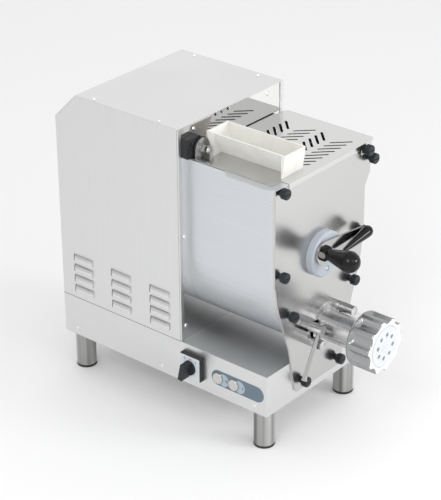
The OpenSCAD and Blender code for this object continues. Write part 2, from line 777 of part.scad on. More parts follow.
// Kneading shaft with its paddles and gear
shaft_r = 11;
shaft_back = 65.5; // kneading shaft behind the partition
shaft_rear = wall_x - shaft_back;
shaft_front = front_x + bush_t - bush_edge - cut;
arm_r = 6;
arm_play = 12; // paddles short of the mouth's edge
arm_reach = mouth_half - arm_play;
arm_n = 5;
arm_rear = 31; // first and last paddle from the partition and from the front plate
arm_front = 42;
arm_x0 = tank_x + arm_rear;
arm_x1 = base_len - arm_front;
arm_step = (arm_x1 - arm_x0) / (arm_n - 1);
arm_turn = 72;
blade_t = 4;
blade_w = 26;
blade_l = 46;
blade_turn = 40; // slant of the blades to the shaft
gear_back = 42.5; // gears behind the partition
gear_x = wall_x - gear_back;
gear_w = 18;

module mixer_shaft() {
    color("silver") place() difference() {
        at_mixer(shaft_rear) rod_x(shaft_r, shaft_front - shaft_rear);
        for (i = [0:1:arm_n - 1]) at_mixer(arm_x0 + i * arm_step)
            rotate([i * arm_turn, 0, 0]) translate([0, 0, -shaft_r - cut])
                cylinder(r = arm_r, h = 2 * shaft_r + 2 * cut, $fn = 48);
    }
}
module mixer_paddles() {
    color("silver") place() for (i = [0:1:arm_n - 1])
        at_mixer(arm_x0 + i * arm_step) rotate([i * arm_turn, 0, 0]) {
            translate([0, 0, -shaft_r - blade_t]) cylinder(r = arm_r, h = arm_reach, $fn = 48);
            translate([0, 0, arm_reach - blade_l / 2]) rotate([0, 0, blade_turn])
                translate([-blade_w / 2, -blade_t / 2, -blade_l / 2])
                    cube([blade_w, blade_t, blade_l]);
        }
}

// involute tooth points; flank thinned by play
pressure = 20;
function inv(a) = tan(a) * 180 / PI - a;
function flank(n, r, play) = let (rb = gear_m * n / 2 * cos(pressure))
    90 / n - play / (gear_m * n) * 180 / PI + inv(pressure) - inv(acos(min(1, rb / r)));
gear_play = 0.35;
flank_steps = 3;
function gear_points(n) = let (
    rp = gear_m * n / 2, rb = rp * cos(pressure), rr = rp - 1.25 * gear_m,
    r0 = max(rb, rr), r1 = rp + 0.95 * gear_m)
    [for (i = [0:1:n - 1]) let (c = i * 360 / n)
        each concat(
            [let (f = flank(n, r0, gear_play)) [rr * cos(c - f), rr * sin(c - f)]],
            [for (j = [0:1:flank_steps]) let (r = r0 + (r1 - r0) * j / flank_steps,
                f = flank(n, r, gear_play)) [r * cos(c - f), r * sin(c - f)]],
            [for (j = [flank_steps:-1:0]) let (r = r0 + (r1 - r0) * j / flank_steps,
                f = flank(n, r, gear_play)) [r * cos(c + f), r * sin(c + f)]],
            [let (f = flank(n, r0, gear_play)) [rr * cos(c + f), rr * sin(c + f)]])];
gear_hub = 20;
gear_hub_l = 5;
module spur(n, turn) {
    difference() {
        union() {
            rotate([turn, 0, 0]) along_x(gear_w) polygon(gear_points(n));
            translate([-gear_hub_l, 0, 0]) rod_x(gear_hub, gear_w + 2 * gear_hub_l);
        }
        translate([-gear_hub_l - cut, 0, 0]) rod_x(shaft_r, gear_w + 2 * gear_hub_l + 2 * cut);
    }
}
web_r = 14;
web_ring = 62;
module mixer_gear() {
    color("dimgray") place() at_mixer(gear_x) difference() {
        spur(mixer_teeth, -90 + 180 / mixer_teeth);
        for (i = [0:1:4]) rotate([i * 72, 0, 0])
            translate([-cut, 0, (web_ring + gear_hub) * 0.68])
                rod_x(web_r, gear_w + 2 * cut);
    }
}
module auger_gear() { color("dimgray") place() at_auger(gear_x) spur(auger_teeth, 90); }

// Auger
auger_core = 9;
auger_play = 0.7; // gap between the flight and the barrel
auger_r = barrel_bore - auger_play;
auger_in = 107.5; // auger shaft behind the partition
auger_rear = wall_x - auger_in;
auger_x0 = tank_x + 2 * back_t + cut;
auger_back = 42; // auger's tip behind the die's face
auger_end = die_x - auger_back;
flight_t = 6;
flight_share = 1.08; // inner edge of the flight over the core's radius
auger_steps = 12;
module auger_shaft() {
    color("silver") place() {
        at_auger(auger_rear) rod_x(shaft_r, tank_x + back_t + clear - auger_rear);
        at_auger(tank_x + back_t) rod_x(auger_core, auger_end - tank_x - back_t);
    }
}
module auger_screw() {
    l = auger_end - auger_x0 - auger_core;
    a = flight_t / auger_pitch * 180;
    color("silver") place() at_auger(auger_x0)
        rotate([0, 90, 0]) linear_extrude(l, twist = -360 * l / auger_pitch,
            slices = round(auger_steps * l / auger_pitch), segments = 6)
            polygon(concat(
                [for (i = [-1:1:1]) auger_core * flight_share * [cos(i * a), sin(i * a)]],
                [for (i = [1:-1:-1]) auger_r * [cos(i * a), sin(i * a)]]));
}

// Bush disc on the front plate
bush_screw_z = 27.5;
bush_screw_r = 5;
module bush_disc() {
    color("lightsteelblue") place() at_mixer(front_x) difference() {
        union() {
            rod_x(bush_r, bush_t - bush_edge);
            translate([bush_t - bush_edge, 0, 0]) rotate([0, 90, 0])
                cylinder(r1 = bush_r, r2 = bush_r - bush_edge, h = bush_edge, $fn = 64);
            translate([-plate, 0, 0]) rod_x(spigot_r, plate + cut);
        }
        translate([-plate - cut, 0, 0]) rod_x(shaft_r + run_fit, plate + cut + bush_t - bush_edge);
        translate([bush_t - bush_edge, 0, -bush_screw_z]) rod_x(bush_screw_r, bush_edge + cut);
        translate([-cut, 0, -bush_screw_z]) rod_x(screw_shank, bush_t);
        translate([bush_t - bush_edge, 0, 0]) rod_x(pivot_r + run_fit, bush_edge + cut);
    }
}

// Clamping lever in front of the bush disc
pivot_r = 9;
pivot_l = 2; // pivot pin in the bush disc
boss_r = 22;
boss_t = 3;
arm_t = 4;
arm_face = boss_t - sheet + arm_t; // front of the arm from its back
lever_x = front_x + bush_t + clear;
hub_y = -16; // black hub, from the shaft axis
hub_z = 11;
hub_r = 12;
hub_l = 18;
hub_x = 7.5;
hub_front = 14.5;
insert_r = 6;
insert_l = 4.5;
stem_r = 4;
stem_l = 6;
grip_r = 10.5;
grip_end = 20;
grip_l = 44;
arm_tip = 5;
tip_z = 15;
fold_r0 = 4;
fold_r1 = 11;
fold_l = 69;
fold_pin = 2.5;
fold_gap = 0.5;
fold_turn = 99.5;

module lever_hub() {
    color("black") place() at_mixer(lever_x) difference() {
        intersection() {
            translate([hub_x, hub_y - hub_l / 2, hub_z]) rod_y(hub_r, hub_l);
            translate([arm_face, hub_y - hub_l, hub_z - 2 * hub_r])
                cube([hub_front - arm_face, 2 * hub_l, 4 * hub_r]);
        }
        translate([hub_x, hub_y - hub_l / 2 - cut, hub_z]) rod_y(insert_r, insert_l - sheet + cut);
        translate([hub_front - stem_l, hub_y, hub_z]) rod_x(stem_r, stem_l + cut);
    }
}
// two discs, of radius r0 at p0 and r1 at p1, and the strap between their outer tangents
module strap(r0, p0, r1, p1) {
    d = p1 - p0;
    a = atan2(d[1], d[0]);
    t = acos((r0 - r1) / norm(d));
    translate(p0) circle(r = r0, $fn = 48);
    translate(p1) circle(r = r1, $fn = 48);
    polygon([p0, p0 + r0 * [cos(a + t), sin(a + t)], p1 + r1 * [cos(a + t), sin(a + t)], p1,
        p1 + r1 * [cos(a - t), sin(a - t)], p0 + r0 * [cos(a - t), sin(a - t)]]);
}
module lever_arm() {
    tip = [lever_len - fold_r1 - sheet, tip_z];
    color("silver") place() at_mixer(lever_x) {
        translate([-pivot_l, 0, 0]) rod_x(pivot_r, pivot_l + boss_t);
        translate([0, hub_y, hub_z]) rod_x(boss_r - sheet, boss_t);
        translate([boss_t - sheet, 0, 0]) along_x(arm_t) difference() {
            strap(boss_r, [hub_y, hub_z], arm_tip, tip);
            translate(tip) circle(r = fold_pin + run_fit, $fn = 32);
        }
        translate([hub_x, hub_y - hub_l / 2 - sheet, hub_z]) rod_y(insert_r, insert_l);
    }
}
// half outline of a tapered grip with round ends, from its thick end along +Y
module grip_outline(r0, r1, l) {
    a = asin((r0 - r1) / l);
    intersection() {
        union() {
            circle(r = r0, $fn = 40);
            translate([0, l]) circle(r = r1, $fn = 32);
            polygon([[0, 0], [r0 * cos(a), r0 * sin(a)], [r1 * cos(a), l + r1 * sin(a)], [0, l]]);
        }
        translate([0, -r0]) square([r0, l + r0 + r1]);
    }
}
module knob_handle() {
    color("black") place() at_mixer(lever_x) translate([hub_front, hub_y, hub_z]) {
        translate([-stem_l, 0, 0]) rod_x(stem_r, stem_l + cut);
        translate([grip_l, 0, 0]) rotate([0, -90, 0]) rotate_extrude($fn = 48) intersection() {
            grip_outline(grip_end, grip_r, grip_l);
            translate([0, -grip_end]) square([grip_end, grip_end + grip_l]);
        }
    }
}
module fold_handle() {
    x0 = arm_face + fold_gap;
    color("black") place() at_mixer(lever_x) {
        translate([-sheet, lever_len - fold_r1 - sheet, tip_z]) rod_x(fold_pin, x0 + 2 * sheet);
        translate([x0 + fold_r1, lever_len - fold_r1 - sheet, tip_z]) rotate([fold_turn, 0, 0])
            rotate_extrude($fn = 40) grip_outline(fold_r1, fold_r0, fold_l);
    }
}

// Extruder barrel
lobe_half = 56;
lobe_h = 50;
lobe_r = 12;
arch_r = 44;
sleeve_r = 8;
head_r = 9.2;
head_l = 28;
thread_r = 41.1;
thread_l = 28;
thread_back = 46; // barrel's thread behind the die's face
thread_x = die_x - thread_back;
module barrel() {
    color("silver") place() difference() {
        union() {
            at_auger(front_x) along_x(bush_t) difference() {
                union() {
                    square([2 * lobe_half - 2 * lobe_r, lobe_h], center = true);
                    square([2 * lobe_half, lobe_h - 2 * lobe_r], center = true);
                    for (s = [-1, 1], t = [-1, 1])
                        translate([s * (lobe_half - lobe_r), t * (lobe_h / 2 - lobe_r)])
                            circle(r = lobe_r, $fn = 48);
                    intersection() {
                        circle(r = arch_r, $fn = 96);
                        square([2 * arch_r, 2 * arch_r], center = true);
                    }
                }
                for (s = [-1, 1], t = [-1, 1]) translate([s * clamp_dy, t * clamp_dz]) {
                    circle(r = sleeve_r + clear, $fn = 48);
                    translate([s > 0 ? 0 : -lobe_half, -sleeve_r - clear])
                        square([lobe_half, 2 * sleeve_r + 2 * clear]);
                }
            }
            at_auger(front_x) rod_x(barrel_r, thread_x - front_x + cut);
            at_auger(thread_x) rod_x(thread_r, thread_l);
        }
        at_auger(front_x - cut) rod_x(barrel_bore, ring_reach);
    }
}

// clamp nut with a sleeve through the flange and a cross hole; turn is about X
cross_out = 21; // cross hole beyond the flange
cross_x = front_x + bush_t + cross_out;
module clamp_nut(s, t, turn) {
    place() translate([0, mid_y + s * clamp_dy, auger_z + t * clamp_dz]) difference() {
        union() {
            translate([front_x + clear, 0, 0]) rod_x(sleeve_r, bush_t);
            translate([front_x + bush_t + clear, 0, 0]) rod_x(head_r, head_l);
        }
        translate([front_x, 0, 0]) rod_x(clamp_r + run_fit, clamp_out + cut);
        translate([cross_x, 0, 0]) rotate([turn, 0, 0]) translate([0, -head_r - cut, 0])
            rod_y(bar_r + run_fit, 2 * head_r + 2 * cut);
    }
}
bar_r = 4.3;
bar_turn = 242.4;
bar_out = 96; // bar from the nut's axis to its lower end
bar_knob = 5.4;
bar_knob_l = 3;
bar_back = head_r + clear + bar_knob_l;
turn_b = 60; // turns of the other clamp nuts' cross holes
turn_c = 20;
turn_d = 130;
module clamp_nut_a() { color("silver") clamp_nut(-1, 1, bar_turn); }
module clamp_nut_b() { color("silver") clamp_nut(1, 1, turn_b); }
module clamp_nut_c() { color("silver") clamp_nut(-1, -1, turn_c); }
module clamp_nut_d() { color("silver") clamp_nut(1, -1, turn_d); }
module tommy_bar() {
    color("silver") place() translate([cross_x, mid_y - clamp_dy, auger_z + clamp_dz])
        rotate([bar_turn, 0, 0]) {
            translate([0, -bar_back, 0]) rod_y(bar_r, bar_back + bar_out);
            translate([0, bar_out - bar_knob_l, 0]) rod_y(bar_knob, bar_knob_l);
            translate([0, -bar_back, 0]) rod_y(bar_knob, bar_knob_l);
        }
}

// Ring nut and die
ring_back = 4;
ring_lip = 4;
rib_n = 10;
flute_big = 15;
flute_ring = 60.5;
rib_turn = 28;
die_r = 38.5;
die_shoulder = 41;
die_hole_r = 4;
die_ring = 22.5;
die_turn = 34.6; // place of the first hole round the die
module ring_nut() {
    x0 = die_x - ring_len;
    color("silver") place() difference() {
        at_auger(x0) rod_x(ring_r, ring_len);
        at_auger(x0 - cut) rod_x(barrel_r + clear, ring_back + 2 * cut);
        at_auger(x0 + ring_back) rod_x(thread_r + clear, ring_len - ring_back - ring_lip);
        at_auger(die_x - ring_lip - cut) rod_x(die_r + clear, ring_lip + 2 * cut);
        for (i = [0:1:rib_n - 1]) at_auger(x0 + ring_back)
            rotate([rib_turn + 18 + i * 360 / rib_n - 90, 0, 0])
                translate([0, 0, flute_ring]) rod_x(flute_big, ring_len);
    }
}
module die() {
    x0 = thread_x + thread_l;
    color("whitesmoke") place() difference() {
        union() {
            at_auger(x0) rod_x(die_shoulder, die_x - ring_lip - clear - x0);
            at_auger(x0) rod_x(die_r, die_x - x0);
        }
        for (i = [0:1:7]) at_auger(x0 - cut) rotate([die_turn - 90 + i * 45, 0, 0])
            translate([0, 0, die_ring]) rod_x(die_hole_r, ring_len);
    }
}

// Drive in the rear housing
bp_back = [59.5, 13.5]; // the two bearing plates behind the partition
bp_in = 16.5; // their sides in from the tank's walls
bp_over = 53; // their top above the kneading shaft
bp_x = [for (b = bp_back) wall_x - b];
bp_t = 6;
bp_half = tank_half - bp_in;
bp_top = mixer_z + bp_over;
bearing_r = 19;
post_r = 7;
module bearing_plates() {
    color("gray") place() {
        for (x = bp_x) difference() {
            translate([x, mid_y - bp_half, base_h]) cube([bp_t, 2 * bp_half, bp_top - base_h]);
            at_mixer(x - cut) rod_x(bearing_r, bp_t + 2 * cut);
            at_auger(x - cut) rod_x(bearing_r, bp_t + 2 * cut);
        }
        for (s = [-1, 1]) translate([bp_x[0] + bp_t, mid_y + s * (bp_half - post_r), bp_top - 2 * post_r])
            rod_x(post_r, bp_x[1] - bp_x[0] - bp_t);
        for (s = [-1, 1]) translate([bp_x[0] + bp_t, mid_y + s * (bp_half - post_r), base_h + 2 * post_r])
            rod_x(post_r, bp_x[1] - bp_x[0] - bp_t);
    }
}
module bearings() {
    color("silver") place() for (x = bp_x, z = [mixer_z, auger_z])
        translate([x, mid_y, z]) difference() {
            rod_x(bearing_r, bp_t);
            translate([-cut, 0, 0]) rod_x(shaft_r + run_fit, bp_t + 2 * cut);
        }
}
module shaft_seals() {
    color("black") place() for (z = [mixer_z, auger_z])
        translate([wall_x - back_t, mid_y, z]) difference() {
            rod_x(mixer_neck, tank_x + 2 * back_t - wall_x);
            translate([-cut, 0, 0]) rod_x(shaft_r + run_fit, 4 * mixer_neck);
        }
}

gb_back = 189.5; // gearbox behind the partition
gb_near = 48.5; // and on the near side of the shafts
gb_x = wall_x - gb_back;
gb_l = 122;
gb_y = mid_y - gb_near;
gb_w = 92;
gb_h = 108;
gb_flange = 8;
worm_y = 55; // motor axis from the auger axis
motor_back = 125.5; // and behind the partition
motor_x = wall_x - motor_back;
module gearbox() {
    z1 = base_h + gb_h;
    color("dimgray") place() difference() {
        union() {
            translate([gb_x, gb_y, base_h]) cube([gb_l, gb_w, gb_h]);
            translate([motor_x, mid_y + worm_y, base_h]) cylinder(r = motor_r * 0.6, h = gb_h, $fn = 64);
            translate([motor_x, mid_y + worm_y, z1 - gb_flange])
                cylinder(r = motor_r, h = gb_flange, $fn = 64);
            at_auger(gb_x + gb_l - cut) rod_x(bearing_r, back_t + cut);
        }
        at_auger(gb_x - cut) rod_x(shaft_r + run_fit, gb_l + 2 * back_t + 2 * cut);
        translate([motor_x, mid_y + worm_y, base_h + gb_flange])
            cylinder(r = rotor_r + run_fit, h = gb_h, $fn = 48);
    }
}
rotor_r = 9;
fin_n = 20;
fin_t = 2;
fin_out = 6;
fan_h = 34;
fan_r = 48;
case_t = 2;
module motor() {
    z0 = base_h + gb_h;
    color("steelblue") place() translate([motor_x, mid_y + worm_y, z0]) {
        difference() {
            union() {
                cylinder(r = motor_r - fin_out, h = motor_h, $fn = 64);
                for (i = [0:1:fin_n - 1]) rotate([0, 0, i * 360 / fin_n])
                    translate([motor_r - fin_out - case_t, -fin_t / 2, gb_flange - cut])
                        cube([fin_out + case_t - clear, fin_t, motor_h - 2 * gb_flange]);
                translate([0, 0, motor_h]) cylinder(r = motor_r - fin_out, h = fan_h, $fn = 64);
                cylinder(r = motor_r, h = gb_flange, $fn = 64);
            }
            translate([0, 0, -cut]) cylinder(r = rotor_r + run_fit, h = motor_h + 2 * cut, $fn = 48);
            translate([0, 0, motor_h]) cylinder(r = fan_r + case_t, h = fan_h - case_t, $fn = 64);
            for (i = [0:1:5]) rotate([0, 0, i * 60]) translate([fan_r / 2, 0, motor_h + fan_h - 2 * case_t])
                cylinder(r = fan_r / 5, h = 3 * case_t, $fn = 32);
        }
    }
}
module motor_rotor() {
    z0 = base_h + gb_flange + clear;
    color("black") place() translate([motor_x, mid_y + worm_y, 0]) {
        translate([0, 0, z0]) cylinder(r = rotor_r, h = gb_h + motor_h + fan_h / 2 - gb_flange, $fn = 48);
        for (i = [0:1:5]) rotate([0, 0, i * 60])
            translate([0, -fin_t / 2, base_h + gb_h + motor_h + 2 * case_t])
                cube([fan_r, fin_t, fan_h / 2]);
    }
}
box_l = 46; // contactor
box_w = 44;
box_h = 70;
box_x = 60;
box_in = 63; // contactor from the far side
box_y = body_w - box_in;
can_r = 20; // capacitor
can_h = 80;
can_y = 40;
block_edge = 16; // contact block round the two buttons
block_h = 34;
module electrics() {
    color("ivory") place() {
        translate([box_x, box_y, base_h]) cube([box_l, box_w, box_h]);
        translate([box_x, can_y, base_h]) cylinder(r = can_r, h = can_h, $fn = 48);
        difference() {
            translate([stop_x - block_edge, sheet, button_z - block_h / 2])
                cube([start_x - stop_x + 2 * block_edge, 2 * button_deep, block_h]);
            for (x = [stop_x, start_x]) translate([x, 0, button_z])
                rod_y(button_r, button_deep + button_out + clear);
        }
    }
}
gland_in = 8;
module cable_gland() {
    color("black") place() translate([0, gland_y, gland_z]) difference() {
        union() {
            translate([-gland_out, 0, 0]) rotate([0, 90, 0])
                cylinder(r1 = gland_r * 0.8, r2 = gland_r * 1.2, h = gland_out / 2, $fn = 48);
            translate([-gland_out / 2, 0, 0]) rotate([0, 90, 0])
                cylinder(r = gland_r * 1.5, h = gland_out / 2, $fn = 6);
            rod_x(gland_r, sheet + gland_in);
            translate([sheet, 0, 0]) rotate([0, 90, 0])
                cylinder(r = gland_r * 1.4, h = gland_in / 2, $fn = 6);
        }
        translate([-gland_out - cut, 0, 0]) rod_x(gland_r / 2, 4 * gland_out);
    }
}

// Rotary switch and buttons
cam_w = 48;
cam_body = 9.5;
cam_face = 2.5;
cam_inner = 40;
cam_deep = 45;
knob_r = 14;
knob_t = 6;
bar_w = 9;
bar_l = 34;
knob_turn = 12; // the knob's bar stands a little off upright
module switch_body() {
    color("black") place() difference() {
        union() {
            translate([cam_x - cam_w / 2, -cam_body, cam_z - cam_w / 2]) cube([cam_w, cam_body, cam_w]);
            translate([cam_x, 0, cam_z]) rod_y(cam_neck, sheet + clear);
            translate([cam_x - cam_inner / 2, sheet, cam_z - cam_inner / 2])
                cube([cam_inner, cam_deep, cam_inner]);
        }
        translate([cam_x, -cam_body - cut, cam_z]) rod_y(pin_r + run_fit, cam_body + cam_deep / 2);
    }
}
module switch_face() {
    color("white") place() difference() {
        translate([cam_x - cam_w / 2 + sheet, -cam_body - cam_face, cam_z - cam_w / 2 + sheet])
            cube([cam_w - sheet2, cam_face, cam_w - sheet2]);
        translate([cam_x, -cam_body - cam_face - cut, cam_z]) rod_y(knob_r + clear, cam_face + 2 * cut);
    }
}
module switch_knob() {
    y1 = -cam_body - clear;
    color("black") place() translate([cam_x, 0, cam_z]) {
        translate([0, y1 - knob_t, 0]) rod_y(knob_r, knob_t);
        translate([0, y1 - cut, 0]) rod_y(pin_r, cam_deep / 2);
        rotate([0, knob_turn, 0]) translate([-bar_w / 2, -knob_out, -bar_l / 2])
            cube([bar_w, knob_out + y1 - knob_t + cut, bar_l]);
    }
}
label_back = 128; // label's ends behind the front of the base
label_edge = 7;
label_x0 = base_len - label_back;
label_x1 = base_len - label_edge;
label_z0 = 24.6;
label_h = 31;
label_t = 0.6;
bezel_r = 14;
module panel_label() {
    color("slategray") place() difference() {
        union() {
            translate([label_x0 + label_h / 2, -label_t, label_z0])
                cube([label_x1 - label_x0 - label_h, label_t, label_h]);
            for (x = [label_x0 + label_h / 2, label_x1 - label_h / 2])
                translate([x, -label_t, label_z0 + label_h / 2]) rod_y(label_h / 2, label_t);
        }
        for (x = [stop_x, start_x]) translate([x, -label_t - cut, button_z])
            rod_y(button_r, label_t + 2 * cut);
    }
}
button_out = 2.5;
button_deep = 12;
module button(x) {
    translate([x, -label_t - button_out, button_z])
        rod_y(button_r - clear, label_t + button_out + button_deep);
}
module start_button() { color("lightgray") place() button(start_x); }
module stop_button() { color("lightgray") place() button(stop_x); }

base_shell();
base_floor();
legs();
foot_caps();
near_panel();
far_panel();
rear_panel();
top_cover();
partition();
case_screws();
tank();
front_frame();
front_plate();
nut_top_near();
nut_ear_far();
nut_mid_near();
nut_mid_far();
nut_low_near();
nut_low_far();
nut_bottom_near();
nut_bottom_far();
lid();
lid_lock();
hinge_disc();
tray();
safety_switch();
hinge_bolt();
mixer_shaft();
mixer_paddles();
mixer_gear();
bush_disc();
lever_hub();
lever_arm();
knob_handle();
fold_handle();
barrel();
clamp_nut_a();
clamp_nut_b();
clamp_nut_c();
clamp_nut_d();
tommy_bar();
ring_nut();
die();
auger_shaft();
auger_screw();
auger_gear();
bearing_plates();
bearings();
shaft_seals();
gearbox();
motor();
motor_rotor();
electrics();
cable_gland();
switch_body();
switch_face();
switch_knob();
panel_label();
start_button();
stop_button();
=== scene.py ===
"""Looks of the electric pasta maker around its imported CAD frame.

Lengths are in metres. Outlines, and the sizes that say so, are in mm, and MM turns them into metres.
"""
import json
import math

import bmesh
import bpy
from mathutils import Matrix, Vector


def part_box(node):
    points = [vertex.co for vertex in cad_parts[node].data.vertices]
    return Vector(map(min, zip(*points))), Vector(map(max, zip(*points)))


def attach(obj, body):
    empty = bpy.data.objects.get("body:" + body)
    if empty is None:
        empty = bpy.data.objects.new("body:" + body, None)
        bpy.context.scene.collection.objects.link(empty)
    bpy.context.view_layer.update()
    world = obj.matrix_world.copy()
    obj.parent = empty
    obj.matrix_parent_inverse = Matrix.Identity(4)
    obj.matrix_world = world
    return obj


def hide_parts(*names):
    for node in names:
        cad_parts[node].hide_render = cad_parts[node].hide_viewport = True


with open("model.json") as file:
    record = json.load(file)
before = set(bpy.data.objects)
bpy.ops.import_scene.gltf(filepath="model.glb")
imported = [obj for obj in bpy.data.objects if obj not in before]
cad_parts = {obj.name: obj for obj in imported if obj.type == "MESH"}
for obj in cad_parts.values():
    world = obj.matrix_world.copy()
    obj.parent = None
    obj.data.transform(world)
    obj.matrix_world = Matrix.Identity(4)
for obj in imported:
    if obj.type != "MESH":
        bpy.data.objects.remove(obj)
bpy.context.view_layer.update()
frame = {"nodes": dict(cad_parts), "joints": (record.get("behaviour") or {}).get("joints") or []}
nodes = frame["nodes"]

MM = 0.001
X, Y, Z = 0, 1, 2
SHARP = 38  # degrees, an edge that turns more than this stays sharp


# Tools for objects and meshes
def put(name, data):
    """A new object in the scene that holds the given data."""
    obj = bpy.data.objects.new(name, data)
    bpy.context.scene.collection.objects.link(obj)
    return obj


def new_mesh(name, points, faces):
    mesh = bpy.data.meshes.new(name)
    mesh.from_pydata([tuple(p) for p in points], [], faces)
    return mesh


def smooth_mesh(mesh, sharp=SHARP):
    """Outward faces, and smooth shading up to an angle."""
    work = bmesh.new()
    work.from_mesh(mesh)
    bmesh.ops.recalc_face_normals(work, faces=work.faces)
    for face in work.faces:
        face.smooth = True
    for edge in work.edges:
        edge.smooth = len(edge.link_faces) == 2 and edge.calc_face_angle() < math.radians(sharp)
    work.to_mesh(mesh)
    work.free()


def carried(name, mesh, finish, body):
    """An object with a finished mesh, which rides on a body."""
    mesh.materials.append(materials[finish])
    obj = put(name, mesh)
    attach(obj, body)
    return obj


def piece(name, points, faces, finish, body, sharp=SHARP):
    """An object from points and faces, smooth up to the given angle, which rides on a body."""
    mesh = new_mesh(name, points, faces)
    smooth_mesh(mesh, sharp)
    return carried(name, mesh, finish, body)


def middle(low, high, x=None, y=None):
    """The middle of a box. A given x or y takes the place of its own."""
    point = (low + high) / 2
    if x is not None:
        point.x = x
    if y is not None:
        point.y = y
    return point


def aim(origin, direction):
    """The place of a part that is drawn along +Z, put at origin and pointing in direction."""
    return Matrix.Translation(origin) @ Vector(direction).to_track_quat("Z", "Y").to_matrix().to_4x4()


def turned(outline, place, steps=64, lobes=None, closed=False):
    """Points and faces of an outline of (along, radius) in mm, turned round the place's own Z.
    lobes gives the radius, in metres, at an outline point and an angle. A closed outline makes a ring."""
    points, faces = [], []
    for k, (along, radius) in enumerate(outline):
        along, radius = along * MM, radius * MM
        for i in range(steps):
            a = 2 * math.pi * i / steps
            r = lobes(k, radius, a) if lobes else radius
            points.append(place @ Vector((r * math.cos(a), r * math.sin(a), along)))
    n = len(outline)
    for k in range(n if closed else n - 1):
        for i in range(steps):
            j, m = (i + 1) % steps, (k + 1) % n
            faces.append((k * steps + i, k * steps + j, m * steps + j, m * steps + i))
    if not closed:
        faces.append(tuple(range(steps)))
        faces.append(tuple((n - 1) * steps + i for i in range(steps)))
    return points, faces


LEAST_RADIUS = 1e-5  # mm, keeps the two ends of a turned outline from closing to a point


def curve_through(points, steps):
    """A smooth outline through a few points, with the given steps between each two of them."""
    ends = [points[0], *points, points[-1]]
    result = []
    for k in range(1, len(ends) - 2):
        p0, p1, p2, p3 = (Vector(p) for p in ends[k - 1:k + 3])
        for i in range(steps):
            t = i / steps
            result.append(0.5 * (2 * p1 + (p2 - p0) * t + (2 * p0 - 5 * p1 + 4 * p2 - p3) * t * t
                                 + (3 * p1 - p0 - 3 * p2 + p3) * t ** 3))
    result.append(Vector(points[-1]))
    return [(p[0], max(LEAST_RADIUS, p[1])) for p in result]


# Camera, at the photograph's viewing angle
IMAGE_HIGH, FOCAL, CENTRE_ROW = 500, 1806.5, 239.9  # pixels
AZIMUTH, ELEVATION, ROLL = math.radians(40.27), math.radians(27.21), math.radians(-0.42)
EYE = Vector((1.888, -2.2635, 1.839))
SENSOR = 36  # mm
CLIP_FAR = 60


def make_camera():
    data = bpy.data.cameras.new("camera")
    data.sensor_width = SENSOR
    data.lens = SENSOR * FOCAL / IMAGE_HIGH
    data.shift_y = (CENTRE_ROW - IMAGE_HIGH / 2) / IMAGE_HIGH
    data.clip_end = CLIP_FAR
    camera = put("camera", data)
    forward = Vector((-math.sin(AZIMUTH) * math.cos(ELEVATION),
                      math.cos(AZIMUTH) * math.cos(ELEVATION), -math.sin(ELEVATION)))
    level = Vector((math.cos(AZIMUTH), math.sin(AZIMUTH), 0))
    above = level.cross(forward)
    right = level * math.cos(ROLL) + above * math.sin(ROLL)
    up = above * math.cos(ROLL) - level * math.sin(ROLL)
    turn = Matrix((right, up, -forward)).transposed()
    camera.matrix_world = Matrix.Translation(EYE) @ turn.to_4x4()
    bpy.context.scene.camera = camera


# Tools for materials
materials = {}
NOISE_LOW, NOISE_HIGH = 0.3, 0.7  # nearly all of a noise's values lie between these


def new_material(name, color, metallic, roughness):
    """A material, kept under its name, with its shader set. Returns the material and the shader."""
    material = bpy.data.materials.new(name)
    material.use_nodes = True
    shader = material.node_tree.nodes["Principled BSDF"]
    shader.inputs["Base Color"].default_value = (*color, 1)
    shader.inputs["Metallic"].default_value = metallic
    shader.inputs["Roughness"].default_value = roughness
    materials[name] = material
    return material, shader


def noise(material, scale, axis=None, along=1, detail=4, roughness=0.55):
    """The value of a noise. Where an axis is given, its scale on that axis is along."""
    scales = [scale] * 3
    if axis is not None:
        scales[axis] = along
    tree = material.node_tree
    place = tree.nodes.new("ShaderNodeTexCoord")
    mapping = tree.nodes.new("ShaderNodeMapping")
    mapping.inputs["Scale"].default_value = scales
    texture = tree.nodes.new("ShaderNodeTexNoise")
    texture.inputs["Scale"].default_value = 1
    texture.inputs["Detail"].default_value = detail
    texture.inputs["Roughness"].default_value = roughness
    tree.links.new(place.outputs["Object"], mapping.inputs["Vector"])
    tree.links.new(mapping.outputs["Vector"], texture.inputs["Vector"])
    return texture.outputs["Fac"]


def tint(material, shader, value, color, darkest, lightest):
    """A base colour that a noise moves between two multiples of the given one."""
    tree = material.node_tree
    ramp = tree.nodes.new("ShaderNodeValToRGB")
    for element, position, factor in zip(ramp.color_ramp.elements, (NOISE_LOW, NOISE_HIGH),
                                         (darkest, lightest)):
        element.position = position
        element.color = (*(min(1, c * factor) for c in color), 1)
    tree.links.new(value, ramp.inputs["Fac"])
    tree.links.new(ramp.outputs["Color"], shader.inputs["Base Color"])


def gloss(material, shader, value, roughness, smoothest, roughest):
    """A roughness that a noise moves between two multiples of the given one."""
    tree = material.node_tree
    node = tree.nodes.new("ShaderNodeMapRange")
    node.inputs["From Min"].default_value = NOISE_LOW
    node.inputs["From Max"].default_value = NOISE_HIGH
    node.inputs["To Min"].default_value = roughness * smoothest
    node.inputs["To Max"].default_value = roughness * roughest
    tree.links.new(value, node.inputs["Value"])
    tree.links.new(node.outputs["Result"], shader.inputs["Roughness"])


